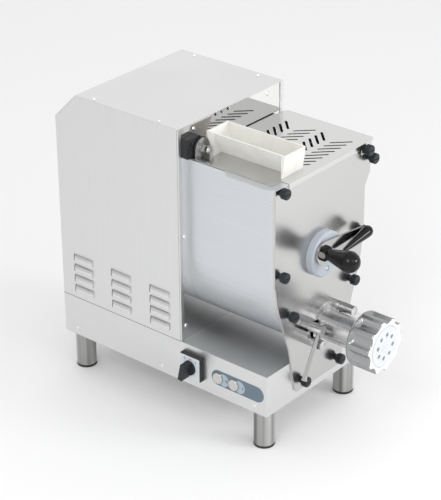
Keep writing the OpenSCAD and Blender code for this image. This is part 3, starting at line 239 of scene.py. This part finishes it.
def relief(material, shader, value, height, edge):
    """Bumps of the given height on top of edges rounded to the given radius."""
    tree = material.node_tree
    bevel = tree.nodes.new("ShaderNodeBevel")
    bevel.samples = 4
    bevel.inputs["Radius"].default_value = edge
    bump = tree.nodes.new("ShaderNodeBump")
    bump.inputs["Strength"].default_value = 1
    bump.inputs["Distance"].default_value = height
    tree.links.new(value, bump.inputs["Height"])
    tree.links.new(bevel.outputs["Normal"], bump.inputs["Normal"])
    tree.links.new(bump.outputs["Normal"], shader.inputs["Normal"])


# Scales of the noises, where a larger one is finer, heights of the bumps, and radii of the edges
GRAIN_ALONG, GRAIN_ACROSS, SHEET_CLOUDS, SHEET_EDGE = 6, 1400, 7, 0.0005
MARKS_ALONG, MARKS_ACROSS, SMEARS, MARKS_HEIGHT = 25, 900, 22, 1.5e-6
# stripes of painted reflection on polished tubes
REFLECTION_STREAKS_ALONG, REFLECTION_STREAKS_ACROSS = 0.8, 75
PLASTIC_CLOUDS, CLOUD_HEIGHT, SKIN, SKIN_HEIGHT = 30, 2e-5, 2200, 1e-5
PEBBLES, PEBBLE_HEIGHT, CAST_EDGE = 420, 1.2e-4, 0.0008
SCATTER = (0.004, 0.003, 0.002)  # how far red, green and blue light go inside the plastic


def brushed(name, color, roughness, axis, height=2.5e-6, contrast=0.03):
    """Brushed sheet metal with its lines along the given axis."""
    material, shader = new_material(name, color, 1, roughness)
    lines = noise(material, GRAIN_ACROSS, axis, GRAIN_ALONG, detail=3, roughness=0.7)
    clouds = noise(material, SHEET_CLOUDS, detail=3)
    tint(material, shader, lines, color, darkest=1 - contrast, lightest=1 + contrast)
    gloss(material, shader, clouds, roughness, smoothest=0.88, roughest=1.12)
    relief(material, shader, lines, height, SHEET_EDGE)


def polished(name, color, roughness, axis, edge=0.0004, reflection_streaks=0.0):
    """Turned or polished metal: fine marks along the given axis, soft smears, and, where asked, broad light
    and dark stripes along it, a polished tube's reflections painted into its colour.
    """
    material, shader = new_material(name, color, 1, roughness)
    lines = noise(material, MARKS_ACROSS, axis, MARKS_ALONG, detail=2)
    smears = noise(material, SMEARS, detail=5)
    gloss(material, shader, smears, roughness, smoothest=0.7, roughest=1.35)
    if reflection_streaks:
        # painted reflection: light and dark stripes along the axis in the base colour
        reflection_bands = noise(material, REFLECTION_STREAKS_ACROSS, axis, REFLECTION_STREAKS_ALONG, detail=1)
        tint(material, shader, reflection_bands, color, darkest=1 - reflection_streaks, lightest=1 + reflection_streaks)
    relief(material, shader, lines, MARKS_HEIGHT, edge)


def plastic(name, color, roughness, edge=0.0006, grain=0.0, subsurface=0.0, specular=0.5):
    """Moulded plastic, slightly uneven in its gloss. Its skin is grained, or else gently wavy."""
    material, shader = new_material(name, color, 0, roughness)
    shader.inputs["Specular IOR Level"].default_value = specular
    clouds = noise(material, PLASTIC_CLOUDS)
    tint(material, shader, clouds, color, darkest=0.95, lightest=1.05)
    gloss(material, shader, clouds, roughness, smoothest=0.85, roughest=1.15)
    if subsurface:
        shader.inputs["Subsurface Weight"].default_value = subsurface
        shader.inputs["Subsurface Radius"].default_value = SCATTER
        shader.inputs["Subsurface Scale"].default_value = 1
    if grain:
        relief(material, shader, noise(material, SKIN, detail=2), SKIN_HEIGHT * grain, edge)
    else:
        relief(material, shader, clouds, CLOUD_HEIGHT, edge)


def cast(name, color, roughness, metallic=1):
    """Cast or painted metal with a pebbled skin."""
    material, shader = new_material(name, color, metallic, roughness)
    pebbles = noise(material, PEBBLES, detail=5, roughness=0.65)
    tint(material, shader, pebbles, color, darkest=0.8, lightest=1.12)
    relief(material, shader, pebbles, PEBBLE_HEIGHT, CAST_EDGE)


SHEET = (0.72, 0.722, 0.722)
BLACK_SHINE = 0.3  # specular level of the black plastics


def make_materials():
    """Every finish of the machine, each with its colour, its roughness and the axis of its lines."""
    brushed("sheet_side", SHEET, 0.36, Z)
    brushed("sheet_base", SHEET, 0.34, X)
    brushed("sheet_top", (0.71, 0.71, 0.71), 0.34, X)
    # painted shade: darker copies of the side sheet for the hoods' upper rows and rear ends
    for name, grey in (("sheet_shade", 0.58), ("sheet_crease_shade", 0.42), ("sheet_deep_shade", 0.2)):
        brushed(name, (grey, grey, grey), 0.4, Z)
    brushed("plate_steel", (0.56, 0.56, 0.555), 0.26, Y, height=1.5e-6, contrast=0.02)
    brushed("lid_steel", (0.64, 0.64, 0.635), 0.2, Y, height=2e-6, contrast=0.02)
    brushed("wall_steel", (0.78, 0.78, 0.77), 0.05, Y, height=1e-6, contrast=0.02)
    brushed("tank_steel", (0.66, 0.685, 0.71), 0.4, X, height=3e-6, contrast=0.05)
    polished("turned_steel", (0.66, 0.66, 0.655), 0.22, X)
    # the barrel and the legs carry painted reflection stripes
    polished("barrel_steel", (0.56, 0.56, 0.56), 0.24, X, reflection_streaks=0.35)
    polished("leg_steel", (0.42, 0.42, 0.415), 0.16, Z, reflection_streaks=0.5)
    polished("bar_steel", (0.46, 0.46, 0.455), 0.12, X)
    polished("zinc", (0.85, 0.85, 0.85), 0.12, Z, edge=0.0003)
    polished("ring_alu", (0.36, 0.365, 0.37), 0.28, X, edge=0.0008)
    polished("ring_face", (0.95, 0.95, 0.95), 0.35, Y, edge=0.0006)
    polished("button_grey", (0.62, 0.61, 0.60), 0.22, Y)
    cast("gear_steel", (0.34, 0.34, 0.35), 0.4)
    cast("cast_alu", (0.5, 0.51, 0.53), 0.5)
    cast("motor_paint", (0.11, 0.17, 0.24), 0.42, metallic=0)
    plastic("knob_black", (0.015, 0.019, 0.024), 0.34, grain=1.0, specular=BLACK_SHINE)
    plastic("gloss_black", (0.004, 0.004, 0.005), 0.1, specular=BLACK_SHINE)
    plastic("switch_black", (0.020, 0.021, 0.024), 0.42, grain=1.0, specular=BLACK_SHINE)
    plastic("face_white", (0.62, 0.66, 0.70), 0.28, edge=0.0003)
    plastic("label_grey", (0.125, 0.17, 0.215), 0.42, edge=0.0001, grain=0.5)
    plastic("bezel_blue", (0.36, 0.43, 0.49), 0.4, edge=0.0001)
    plastic("tray_ivory", (0.78, 0.775, 0.74), 0.34, grain=0.6, subsurface=0.15)
    plastic("bush_grey", (0.43, 0.465, 0.52), 0.33, edge=0.001)
    plastic("die_white", (0.64, 0.67, 0.70), 0.32, edge=0.0008)
    # this dark finish is also painted as shade along the side panels' joints
    plastic("rubber", (0.018, 0.018, 0.018), 0.62, grain=2.0)
    plastic("electric", (0.62, 0.61, 0.56), 0.42, grain=1.0)
    plastic("mark", (0.03, 0.035, 0.045), 0.5, edge=0.0001)


# The finish of each CAD node that stays
CLAMP_NUTS = [f"clamp_nut_{letter}" for letter in "abcd"]
FINISH = {
    "base_shell": "sheet_base", "base_floor": "sheet_base", "legs": "leg_steel", "foot_caps": "rubber",
    "near_panel": "sheet_side", "far_panel": "sheet_side", "rear_panel": "sheet_side",
    "top_cover": "sheet_top", "partition": "wall_steel", "case_screws": "zinc", "tank": "tank_steel",
    "front_frame": "turned_steel", "front_plate": "plate_steel", "lid": "lid_steel",
    "hinge_disc": "knob_black", "tray": "tray_ivory",
    "safety_switch": "switch_black", "hinge_bolt": "bar_steel", "mixer_shaft": "turned_steel",
    "mixer_paddles": "turned_steel", "mixer_gear": "gear_steel", "bush_disc": "bush_grey",
    "lever_hub": "gloss_black", "lever_arm": "bar_steel", "barrel": "barrel_steel",
    "tommy_bar": "bar_steel", "die": "die_white", "auger_shaft": "turned_steel",
    "auger_screw": "turned_steel", "auger_gear": "gear_steel", "bearing_plates": "cast_alu",
    "bearings": "zinc", "shaft_seals": "rubber", "gearbox": "cast_alu", "motor": "motor_paint",
    "motor_rotor": "gear_steel", "electrics": "electric", "cable_gland": "switch_black",
    "switch_body": "switch_black", "switch_face": "face_white", "switch_knob": "switch_black",
    "panel_label": "label_grey", **dict.fromkeys(CLAMP_NUTS, "barrel_steel"),
}

# Width of the rounded edges of the CAD nodes that have them
ROUNDED = {
    "barrel": 0.0012, "bush_disc": 0.0008, "die": 0.0007, "tray": 0.0006, "foot_caps": 0.0008,
    "lever_arm": 0.0005, "lever_hub": 0.0014, "tommy_bar": 0.0006, "switch_body": 0.0008,
    "switch_face": 0.0004, "switch_knob": 0.0012, "gearbox": 0.002, "motor": 0.0006,
    "base_shell": 0.0009, "near_panel": 0.0006, "far_panel": 0.0006, "top_cover": 0.0006,
    "hinge_disc": 0.0005, "safety_switch": 0.0008, "legs": 0.0004, "front_plate": 0.0005,
    "cable_gland": 0.0006, **dict.fromkeys(CLAMP_NUTS, 0.0008),
}
WELD_WITHIN = 2e-6
FLAT_WITHIN = 0.4  # degrees, faces that lie flatter to each other become one


def clean_edges(obj):
    """Rounded edges and smooth shading by modifiers, because a CAD node's own mesh stays as it is."""
    weld = obj.modifiers.new("weld", "WELD")
    weld.merge_threshold = WELD_WITHIN
    flat = obj.modifiers.new("flat", "DECIMATE")
    flat.decimate_type = "DISSOLVE"
    flat.angle_limit = math.radians(FLAT_WITHIN)
    if obj.name in ROUNDED:
        bevel = obj.modifiers.new("bevel", "BEVEL")
        bevel.width = ROUNDED[obj.name]
        bevel.segments = 2
        bevel.angle_limit = math.radians(SHARP)
        bevel.use_clamp_overlap = True
        bevel.harden_normals = True
    normals = obj.modifiers.new("normals", "WEIGHTED_NORMAL")
    normals.keep_sharp = True


def dress_cad():
    """Every CAD node that stays gets its material and clean edges."""
    for name, finish in FINISH.items():
        obj = nodes[name]
        obj.data.materials.clear()
        obj.data.materials.append(materials[finish])
        clean_edges(obj)


# Black thumb nuts, with flutes between two points of their outline
NUT_OUTLINE = [(0, 5.4), (0.5, 6.0), (1.2, 6.2), (4.6, 6.2), (5.5, 6.6), (6.0, 7.6), (6.3, 9.0), (7.0, 9.8),
               (8.2, 10), (15.6, 10), (16.9, 9.7), (17.7, 9.0), (18, 8.0), (18, 4.0)]
FLUTED_FROM, FLUTED_TO = 7, 11
NUT_FLUTES, FLUTE_DEPTH = 12, 0.00095
FLUTE_NARROW = 2.5  # a higher value makes narrower flutes
SLOT_WIDE, SLOT_REACH = 0.0016, 0.011
NUT_COLLAR = 2  # mm, what lies beyond it moves back where the collar is shorter
LOCK_SHORTER = 3  # mm


def flute(k, radius, angle):
    """The radius of a thumb nut at an outline point and an angle."""
    if not FLUTED_FROM <= k <= FLUTED_TO:
        return radius
    wave = 0.5 + 0.5 * math.cos(NUT_FLUTES * angle)
    return radius - FLUTE_DEPTH * wave ** FLUTE_NARROW


def cut_slot(mesh, place, end):
    """The mesh of a nut, drawn along the place's own Z, with a screwdriver slot across its end."""
    lows = (-SLOT_REACH, -SLOT_WIDE / 2, end - SLOT_WIDE)
    highs = (SLOT_REACH, SLOT_WIDE / 2, end + SLOT_WIDE)
    cutter = bpy.data.meshes.new("cutter")
    work = bmesh.new()
    bmesh.ops.create_cube(work, size=1)
    for v in work.verts:
        v.co = place @ Vector([lows[i] if v.co[i] < 0 else highs[i] for i in range(3)])
    work.to_mesh(cutter)
    work.free()
    nut, tool = put("nut", mesh), put("tool", cutter)
    modifier = nut.modifiers.new("cut", "BOOLEAN")
    modifier.operation = "DIFFERENCE"
    modifier.object = tool
    modifier.solver = "EXACT"
    shape = bpy.data.meshes.new_from_object(nut.evaluated_get(bpy.context.evaluated_depsgraph_get()))
    for obj in (nut, tool):
        bpy.data.objects.remove(obj)
    return shape


def thumb_nut(node, body, shorter=0):
    """A fluted knob with a collar and a slot, ending where its CAD node ends.
    Its collar may be shorter, in mm."""
    low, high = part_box(node)
    outline = [(a if a < NUT_COLLAR else a - shorter, r) for a, r in NUT_OUTLINE]
    length = outline[-1][0] * MM
    place = aim(middle(low, high, x=high.x - length), (1, 0, 0))
    points, faces = turned(outline, place, steps=144, lobes=flute)
    shape = cut_slot(new_mesh(node, points, faces), place, length)
    smooth_mesh(shape)
    shape.materials.clear()
    obj = carried("knob_" + node, shape, "knob_black", body)
    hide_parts(node)


def thumb_nuts():
    for name in nodes:
        if name.startswith("nut_"):
            thumb_nut(name, name)
    thumb_nut("lid_lock", "lock_screw", shorter=LOCK_SHORTER)


# Ring nut, with flutes that run out before its rear edge
RING_RADIUS = 52  # mm
RING_OUTLINE = [(0.6, 28.9), (0, 29.6), (0, 47.5), (0.5, 49.4), (1.8, 51.0), (3.4, 51.8), (5, RING_RADIUS),
                (6.2, RING_RADIUS), (7.8, RING_RADIUS), (9.6, RING_RADIUS), (12, RING_RADIUS),
                (15, RING_RADIUS), (47.6, RING_RADIUS), (49.3, 51.7), (50.4, 50.9), (51, 49.7),
                (51, 39.6), (50.5, 38.9), (47, 38.9), (47, 41.4), (4, 41.4), (4, 28.9)]
RING_DEPTHS = [0] * 7 + [0.12, 0.42, 0.72, 0.93] + [1] * 5 + [0] * 6  # of the flutes at each point
RING_FLUTES, RING_FIRST = 10, math.radians(46)  # how many flutes, and the angle of the first
RING_FLUTE, RING_FLUTE_AT = 15, 60.5  # mm, the radius of a flute and how far out its centre lies
RING_CLEAR = 60.0  # mm, well outside the rim, where there is no flute
RING_SOFT = 0.9  # mm, how gently a flute meets the rim
FACE_TURNED = 0.8  # how far a face must look along X to be part of the turned end


def ring_lobe(k, radius, angle):
    """The radius of the ring nut at an outline point and an angle."""
    if not RING_DEPTHS[k]:
        return radius
    pitch = 2 * math.pi / RING_FLUTES
    away = (angle - RING_FIRST + pitch / 2) % pitch - pitch / 2
    across = RING_FLUTE_AT * math.sin(away)
    groove = RING_CLEAR
    if abs(across) < RING_FLUTE:
        groove = RING_FLUTE_AT * math.cos(away) - math.sqrt(RING_FLUTE ** 2 - across ** 2)
    lobed = RING_RADIUS - RING_SOFT * math.log(1 + math.exp((RING_RADIUS - groove) / RING_SOFT))
    return radius - (RING_RADIUS - lobed) * RING_DEPTHS[k] * MM


def ring_nut():
    low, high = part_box("ring_nut")
    # the drawing's own X, Y and Z lie along the machine's Y, Z and X
    turn = Matrix(((0, 0, 1), (1, 0, 0), (0, 1, 0))).to_4x4()
    place = Matrix.Translation(middle(low, high, x=low.x)) @ turn
    points, faces = turned(RING_OUTLINE, place, steps=360, lobes=ring_lobe, closed=True)
    obj = piece("ring_nut_body", points, faces, "ring_alu", "ring", sharp=50)
    obj.data.materials.append(materials["ring_face"])
    for face in obj.data.polygons:
        face.material_index = int(face.normal.x > FACE_TURNED)
    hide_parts("ring_nut")


# Handles of the clamping lever: a fixed one, and a grip that folds on its pin
HANDLE = [(0, 8.8), (0.5, 9.8), (2, 10.7), (9, 12.4), (19, 14.8), (29, 17.1), (37, 18.9), (43, 19.9),
          (47, 19.8), (52, 18.3), (57, 15.2), (61, 10.6), (63.2, 5.6), (63.9, 2), (64, 0)]
GRIP_RADIUS = 11  # mm
GRIP_TURN = math.radians(99.5)  # how far the grip leans from upright at rest
GRIP = [(-11, 0), (-10.6, 3.0), (-9.2, 5.9), (-6.5, 8.7), (-2.6, 10.5), (2, GRIP_RADIUS), (12, 10.2),
        (26, 8.7), (42, 7.0), (56, 5.5), (66, 4.4), (70, 3.6), (72, 2.2), (72.8, 0.8), (73, 0)]
GRIP_PIN = [(0, 2.2), (0.3, 2.5), (9, 2.5)]


def ball_handle():
    low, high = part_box("knob_handle")
    place = aim(middle(low, high, x=high.x - HANDLE[-1][0] * MM), (1, 0, 0))
    points, faces = turned(curve_through(HANDLE, steps=5), place)
    obj = piece("ball_handle", points, faces, "gloss_black", "lever", sharp=60)
    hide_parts("knob_handle")


def fold_grip():
    low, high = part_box("fold_handle")
    joint = next(j for j in frame["joints"] if j["name"] == "fold_grip_swing")
    pivot = Vector((high.x - GRIP_RADIUS * MM, joint["pos_m"][Y], joint["pos_m"][Z]))
    place = aim(pivot, (0, -math.sin(GRIP_TURN), math.cos(GRIP_TURN)))
    points, faces = turned(curve_through(GRIP, steps=4), place)
    obj = piece("fold_grip_body", points, faces, "gloss_black", "fold_grip", sharp=60)
    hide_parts("fold_handle")
    points, faces = turned(GRIP_PIN, aim(Vector((low.x, pivot.y, pivot.z)), (1, 0, 0)), steps=32)
    piece("fold_grip_pin", points, faces, "bar_steel", "fold_grip")


# Push buttons: spun metal caps
BUTTON = [(0, 11.0), (13.4, 11.2), (14.3, 11.1), (14.9, 10.6), (15.1, 9.8), (14.9, 8.2), (14.75, 5),
          (14.7, 2)]


def button_caps():
    for body in ("start", "stop"):
        name = body + "_button"
        low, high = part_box(name)
        place = aim(middle(low, high, y=high.y), (0, -1, 0))
        points, faces = turned(curve_through(BUTTON, steps=3), place)
        obj = piece(name + "_cap", points, faces, "button_grey", body, sharp=50)
        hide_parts(name)


# Printed marks of the label and the switch. Their outlines are in X and Z, in mm
PRINT_THICK = 0.0001
PILL_RADIUS, PILL_AWAY, PILL_INNER = 12.6, 13.2, 11.5  # mm, a pill is a crescent that leaves its cap free
ROUND_STEPS = 40  # points round a zero or along an arc
START_BAR, SWITCH_DASH, SWITCH_ONE = (6, 1.3), (4.2, 1.0, 90), (4.6, 0.9)  # length, width and turn
STOP_ZERO, SWITCH_ZERO = (6, 5, 1.2), (4.6, 3.4, 0.8)  # height, width and stroke
MARK_AWAY = 0.0205
ZERO_AT, DASH_AT, ONE_AT = (-0.0115, 0, 0.0175), (0.0015, 0, 0.019), (0.0145, 0, 0.0165)


def flat_shape(name, centre, outline, thickness, finish):
    """A thin shape on a side of the machine, from its outline in X and Z round centre.
    It stands out by its thickness towards the near side, or the far side where that is negative."""
    n = len(outline)
    points = [centre + Vector((x * MM, 0, z * MM)) for x, z in outline]
    points += [p - Vector((0, thickness, 0)) for p in points]
    faces = [tuple(range(n)), tuple(range(2 * n - 1, n - 1, -1))]
    faces += [(i, (i + 1) % n, n + (i + 1) % n, n + i) for i in range(n)]
    return piece(name, points, faces, finish, "machine", sharp=20)


def arc(radius, x, turn):
    """Points of an arc round (x, 0), from minus turn to turn."""
    angles = [turn * (2 * i / ROUND_STEPS - 1) for i in range(ROUND_STEPS + 1)]
    return [(x + radius * math.cos(a), radius * math.sin(a)) for a in angles]


def crescent(radius, x, inner):
    """A circle round (x, 0), less a circle of the inner radius round the origin."""
    meet = (x ** 2 + inner ** 2 - radius ** 2) / (2 * x)
    outside = arc(radius, x, math.acos((meet - x) / radius))
    inside = arc(inner, 0, math.acos(meet / inner))
    return outside + inside[-2:0:-1]


def bar(length, width, turn=0):
    """A bar round the origin, upright unless it is turned by some degrees."""
    c, s = math.cos(math.radians(turn)), math.sin(math.radians(turn))
    half = ((-1, -1), (1, -1), (1, 1), (-1, 1))
    corners = [(width / 2 * x, length / 2 * z) for x, z in half]
    return [(x * c - z * s, x * s + z * c) for x, z in corners]


def zero_mark(name, centre, sizes):
    """The figure 0 as a flat ring, from its height, width and stroke."""
    tall, wide, stroke = sizes
    points, faces = [], []
    for inset in (0, stroke):
        for i in range(ROUND_STEPS):
            a = 2 * math.pi * i / ROUND_STEPS
            points.append(centre + Vector(((wide / 2 - inset) * math.cos(a) * MM, 0,
                                           (tall / 2 - inset) * math.sin(a) * MM)))
    for i in range(ROUND_STEPS):
        j = (i + 1) % ROUND_STEPS
        faces.append((i, j, ROUND_STEPS + j, ROUND_STEPS + i))
    obj = piece(name, points, faces, "mark", "machine")
    thick = obj.modifiers.new("thick", "SOLIDIFY")
    thick.thickness = PRINT_THICK
    thick.offset = 0


def label_marks():
    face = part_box("panel_label")[0].y
    pill = crescent(PILL_RADIUS, PILL_AWAY, PILL_INNER)
    for name in ("start_button", "stop_button"):
        low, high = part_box(name)
        centre = middle(low, high, y=face)
        flat_shape(name + "_pill", centre, pill, PRINT_THICK, "bezel_blue")
        spot = centre + Vector((MARK_AWAY, -PRINT_THICK, 0))
        if name == "start_button":
            flat_shape("start_mark", spot, bar(*START_BAR), PRINT_THICK, "mark")
        else:
            zero_mark("stop_mark", spot, STOP_ZERO)


def switch_marks():
    low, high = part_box("switch_face")
    centre = middle(low, high, y=low.y)
    zero_mark("switch_zero", centre + Vector(ZERO_AT), SWITCH_ZERO)
    for name, place, sizes in (("switch_dash", DASH_AT, SWITCH_DASH), ("switch_one", ONE_AT, SWITCH_ONE)):
        flat_shape(name, centre + Vector(place), bar(*sizes), PRINT_THICK, "mark")


# Pressed louvres, smooth over the plain ones of the side panels. Their sizes are in mm
LOUVRE_XS, LOUVRE_ROWS, LOUVRE_PITCH = (32.5, 128.7, 224.9), 4, 22
LOUVRE_LONG, LOUVRE_TALL, LOUVRE_OUT, LOUVRE_FIRST = 47, 14, 4.45, 97.67
HOOD_ROUND, HOOD_SQUARE = 2.6, 5  # how square a hood's outline is upwards and along
HOOD_ACROSS, HOOD_UP = 28, 12  # faces of a hood along and upwards
# the darker sheet copies of the hoods, painted shade from light to darkest
HOOD_SHADES = ("sheet_shade", "sheet_crease_shade", "sheet_deep_shade")
SHADE_FROM, CREASE_SHADE_FROM = 4, 7  # rows of faces from which a hood gets darker painted shade
DEEP_SHADE_TO = 5  # its rearmost faces, which get the darkest painted shade
HOOD_SHEET = 0.9


def hood(points, faces, origin, side):
    """Adds one pressed hood, open below, on a face that looks along side (-1 or 1) in Y."""
    first = len(points)
    for k in range(HOOD_UP + 1):
        v = math.sin(math.pi / 2 * k / HOOD_UP)
        rise = max(0, 1 - v ** HOOD_ROUND) ** (1 / HOOD_ROUND)
        for i in range(HOOD_ACROSS + 1):
            u = math.sin(math.pi * (i / HOOD_ACROSS - 0.5))
            end = max(0, 1 - abs(u) ** HOOD_SQUARE) ** (1 / HOOD_SQUARE)
            out = side * LOUVRE_OUT * rise * end
            points.append(origin + Vector((LOUVRE_LONG * (u + 1) / 2, out, LOUVRE_TALL * v)) * MM)
    for k in range(HOOD_UP):
        for i in range(HOOD_ACROSS):
            a = first + k * (HOOD_ACROSS + 1) + i
            faces.append((a, a + 1, a + HOOD_ACROSS + 2, a + HOOD_ACROSS + 1))


def paint_hood_shade(mesh):
    """Painted shade, darker where the hoods look dark: a hood's upper rows and its rearmost faces."""
    for finish in HOOD_SHADES:
        mesh.materials.append(materials[finish])
    for face in mesh.polygons:
        row, column = divmod(face.index % (HOOD_ACROSS * HOOD_UP), HOOD_ACROSS)
        shade = (row >= SHADE_FROM) + (row >= CREASE_SHADE_FROM)
        face.material_index = len(HOOD_SHADES) if column < DEEP_SHADE_TO else shade


def louvres():
    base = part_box("base_shell")
    for name, side in (("near_panel", -1), ("far_panel", 1)):
        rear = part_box(name)[0].x
        sheet_face = base[0 if side < 0 else 1].y
        points, faces = [], []
        for x in LOUVRE_XS:
            for row in range(LOUVRE_ROWS):
                foot = base[0].z + (LOUVRE_FIRST + row * LOUVRE_PITCH) * MM
                hood(points, faces, Vector((rear + x * MM, sheet_face, foot)), side)
        obj = piece(name + "_hoods", points, faces, "sheet_side", "machine", sharp=70)
        # painted shade on the hoods' upper rows and rear ends
        paint_hood_shade(obj.data)
        thick = obj.modifiers.new("thick", "SOLIDIFY")
        thick.thickness = HOOD_SHEET * MM
        thick.offset = -1


# Painted shade at the real joints of the side panels: dark strips along the base, and upright near their
# front edges, where the grooves lie in shade. In mm
JOINT_UP, JOINT_WIDE, EDGE_WIDE, JOINT_BACK, JOINT_PROUD = 83, 0.9, 0.45, 3.2, 0.08


def joint_shade_lines():
    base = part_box("base_shell")
    for name, side in (("near_panel", 0), ("far_panel", 1)):
        low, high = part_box(name)
        proud = JOINT_PROUD * MM * (1 - 2 * side)
        foot = base[0].z + JOINT_UP * MM
        along = Vector(((low.x + high.x) / 2, base[side].y, foot))
        line = bar((high.x - low.x) / MM, JOINT_WIDE, 90)
        # painted shade: a dark strip where the panel meets the base
        flat_shape(name + "_joint", along, line, proud, "rubber")
        upright = Vector((high.x - JOINT_BACK * MM, base[side].y, (foot + high.z) / 2))
        line = bar((high.z - foot) / MM, EDGE_WIDE)
        # painted shade: an upright dark strip near the panel's front edge
        flat_shape(name + "_edge", upright, line, proud, "rubber")


# Floor, world and lights
FLOOR_HALF, FLOOR_GREY, FLOOR_ROUGH, FLOOR_SHINE = 14, 0.86, 0.8, 0.2
WORLD_LIGHT = 0.92
# Each light's name, place, target, width and height, and watts
LIGHTS = (
    ("key", (0.9, -2.2, 2.2), (0.15, -0.5, 0), (1.2, 1.2), 19),
    ("side", (-1.3, -2.3, 0.9), (-0.1, 0, 0.3), (1.2, 1.0), 1),
    ("fill", (3.0, -0.4, 2.2), (0.2, 0, 0.2), (1.2, 1.8), 8),
    ("far", (2.2, 0.9, 1.0), (0.4, 0.1, 0), (0.8, 0.6), 19),
    ("back", (-2.2, 2.7, 2.4), (0, 0, 0.5), (3.4, 2.6), 4),
)


def make_floor():
    half = FLOOR_HALF
    corners = [(-half, -half, 0), (half, -half, 0), (half, half, 0), (-half, half, 0)]
    floor = put("floor", new_mesh("floor", corners, [(0, 1, 2, 3)]))
    material, shader = new_material("floor", [FLOOR_GREY] * 3, 0, FLOOR_ROUGH)
    shader.inputs["Specular IOR Level"].default_value = FLOOR_SHINE
    floor.data.materials.append(material)


def make_world():
    world = bpy.data.worlds.new("world")
    world.use_nodes = True
    background = world.node_tree.nodes["Background"]
    background.inputs["Color"].default_value = (1, 1, 1, 1)
    background.inputs["Strength"].default_value = WORLD_LIGHT
    bpy.context.scene.world = world


def make_lights():
    for name, place, target, size, watts in LIGHTS:
        data = bpy.data.lights.new(name, "AREA")
        data.shape = "RECTANGLE"
        data.size, data.size_y = size
        data.energy = watts
        light = put(name, data)
        light.location = place
        light.rotation_euler = (Vector(target) - Vector(place)).to_track_quat("-Z", "Y").to_euler()


make_camera()
make_materials()
dress_cad()
thumb_nuts()
ring_nut()
ball_handle()
fold_grip()
button_caps()
label_marks()
switch_marks()
louvres()
joint_shade_lines()
make_floor()
make_world()
make_lights()
bpy.context.scene.view_settings.view_transform = "Standard"
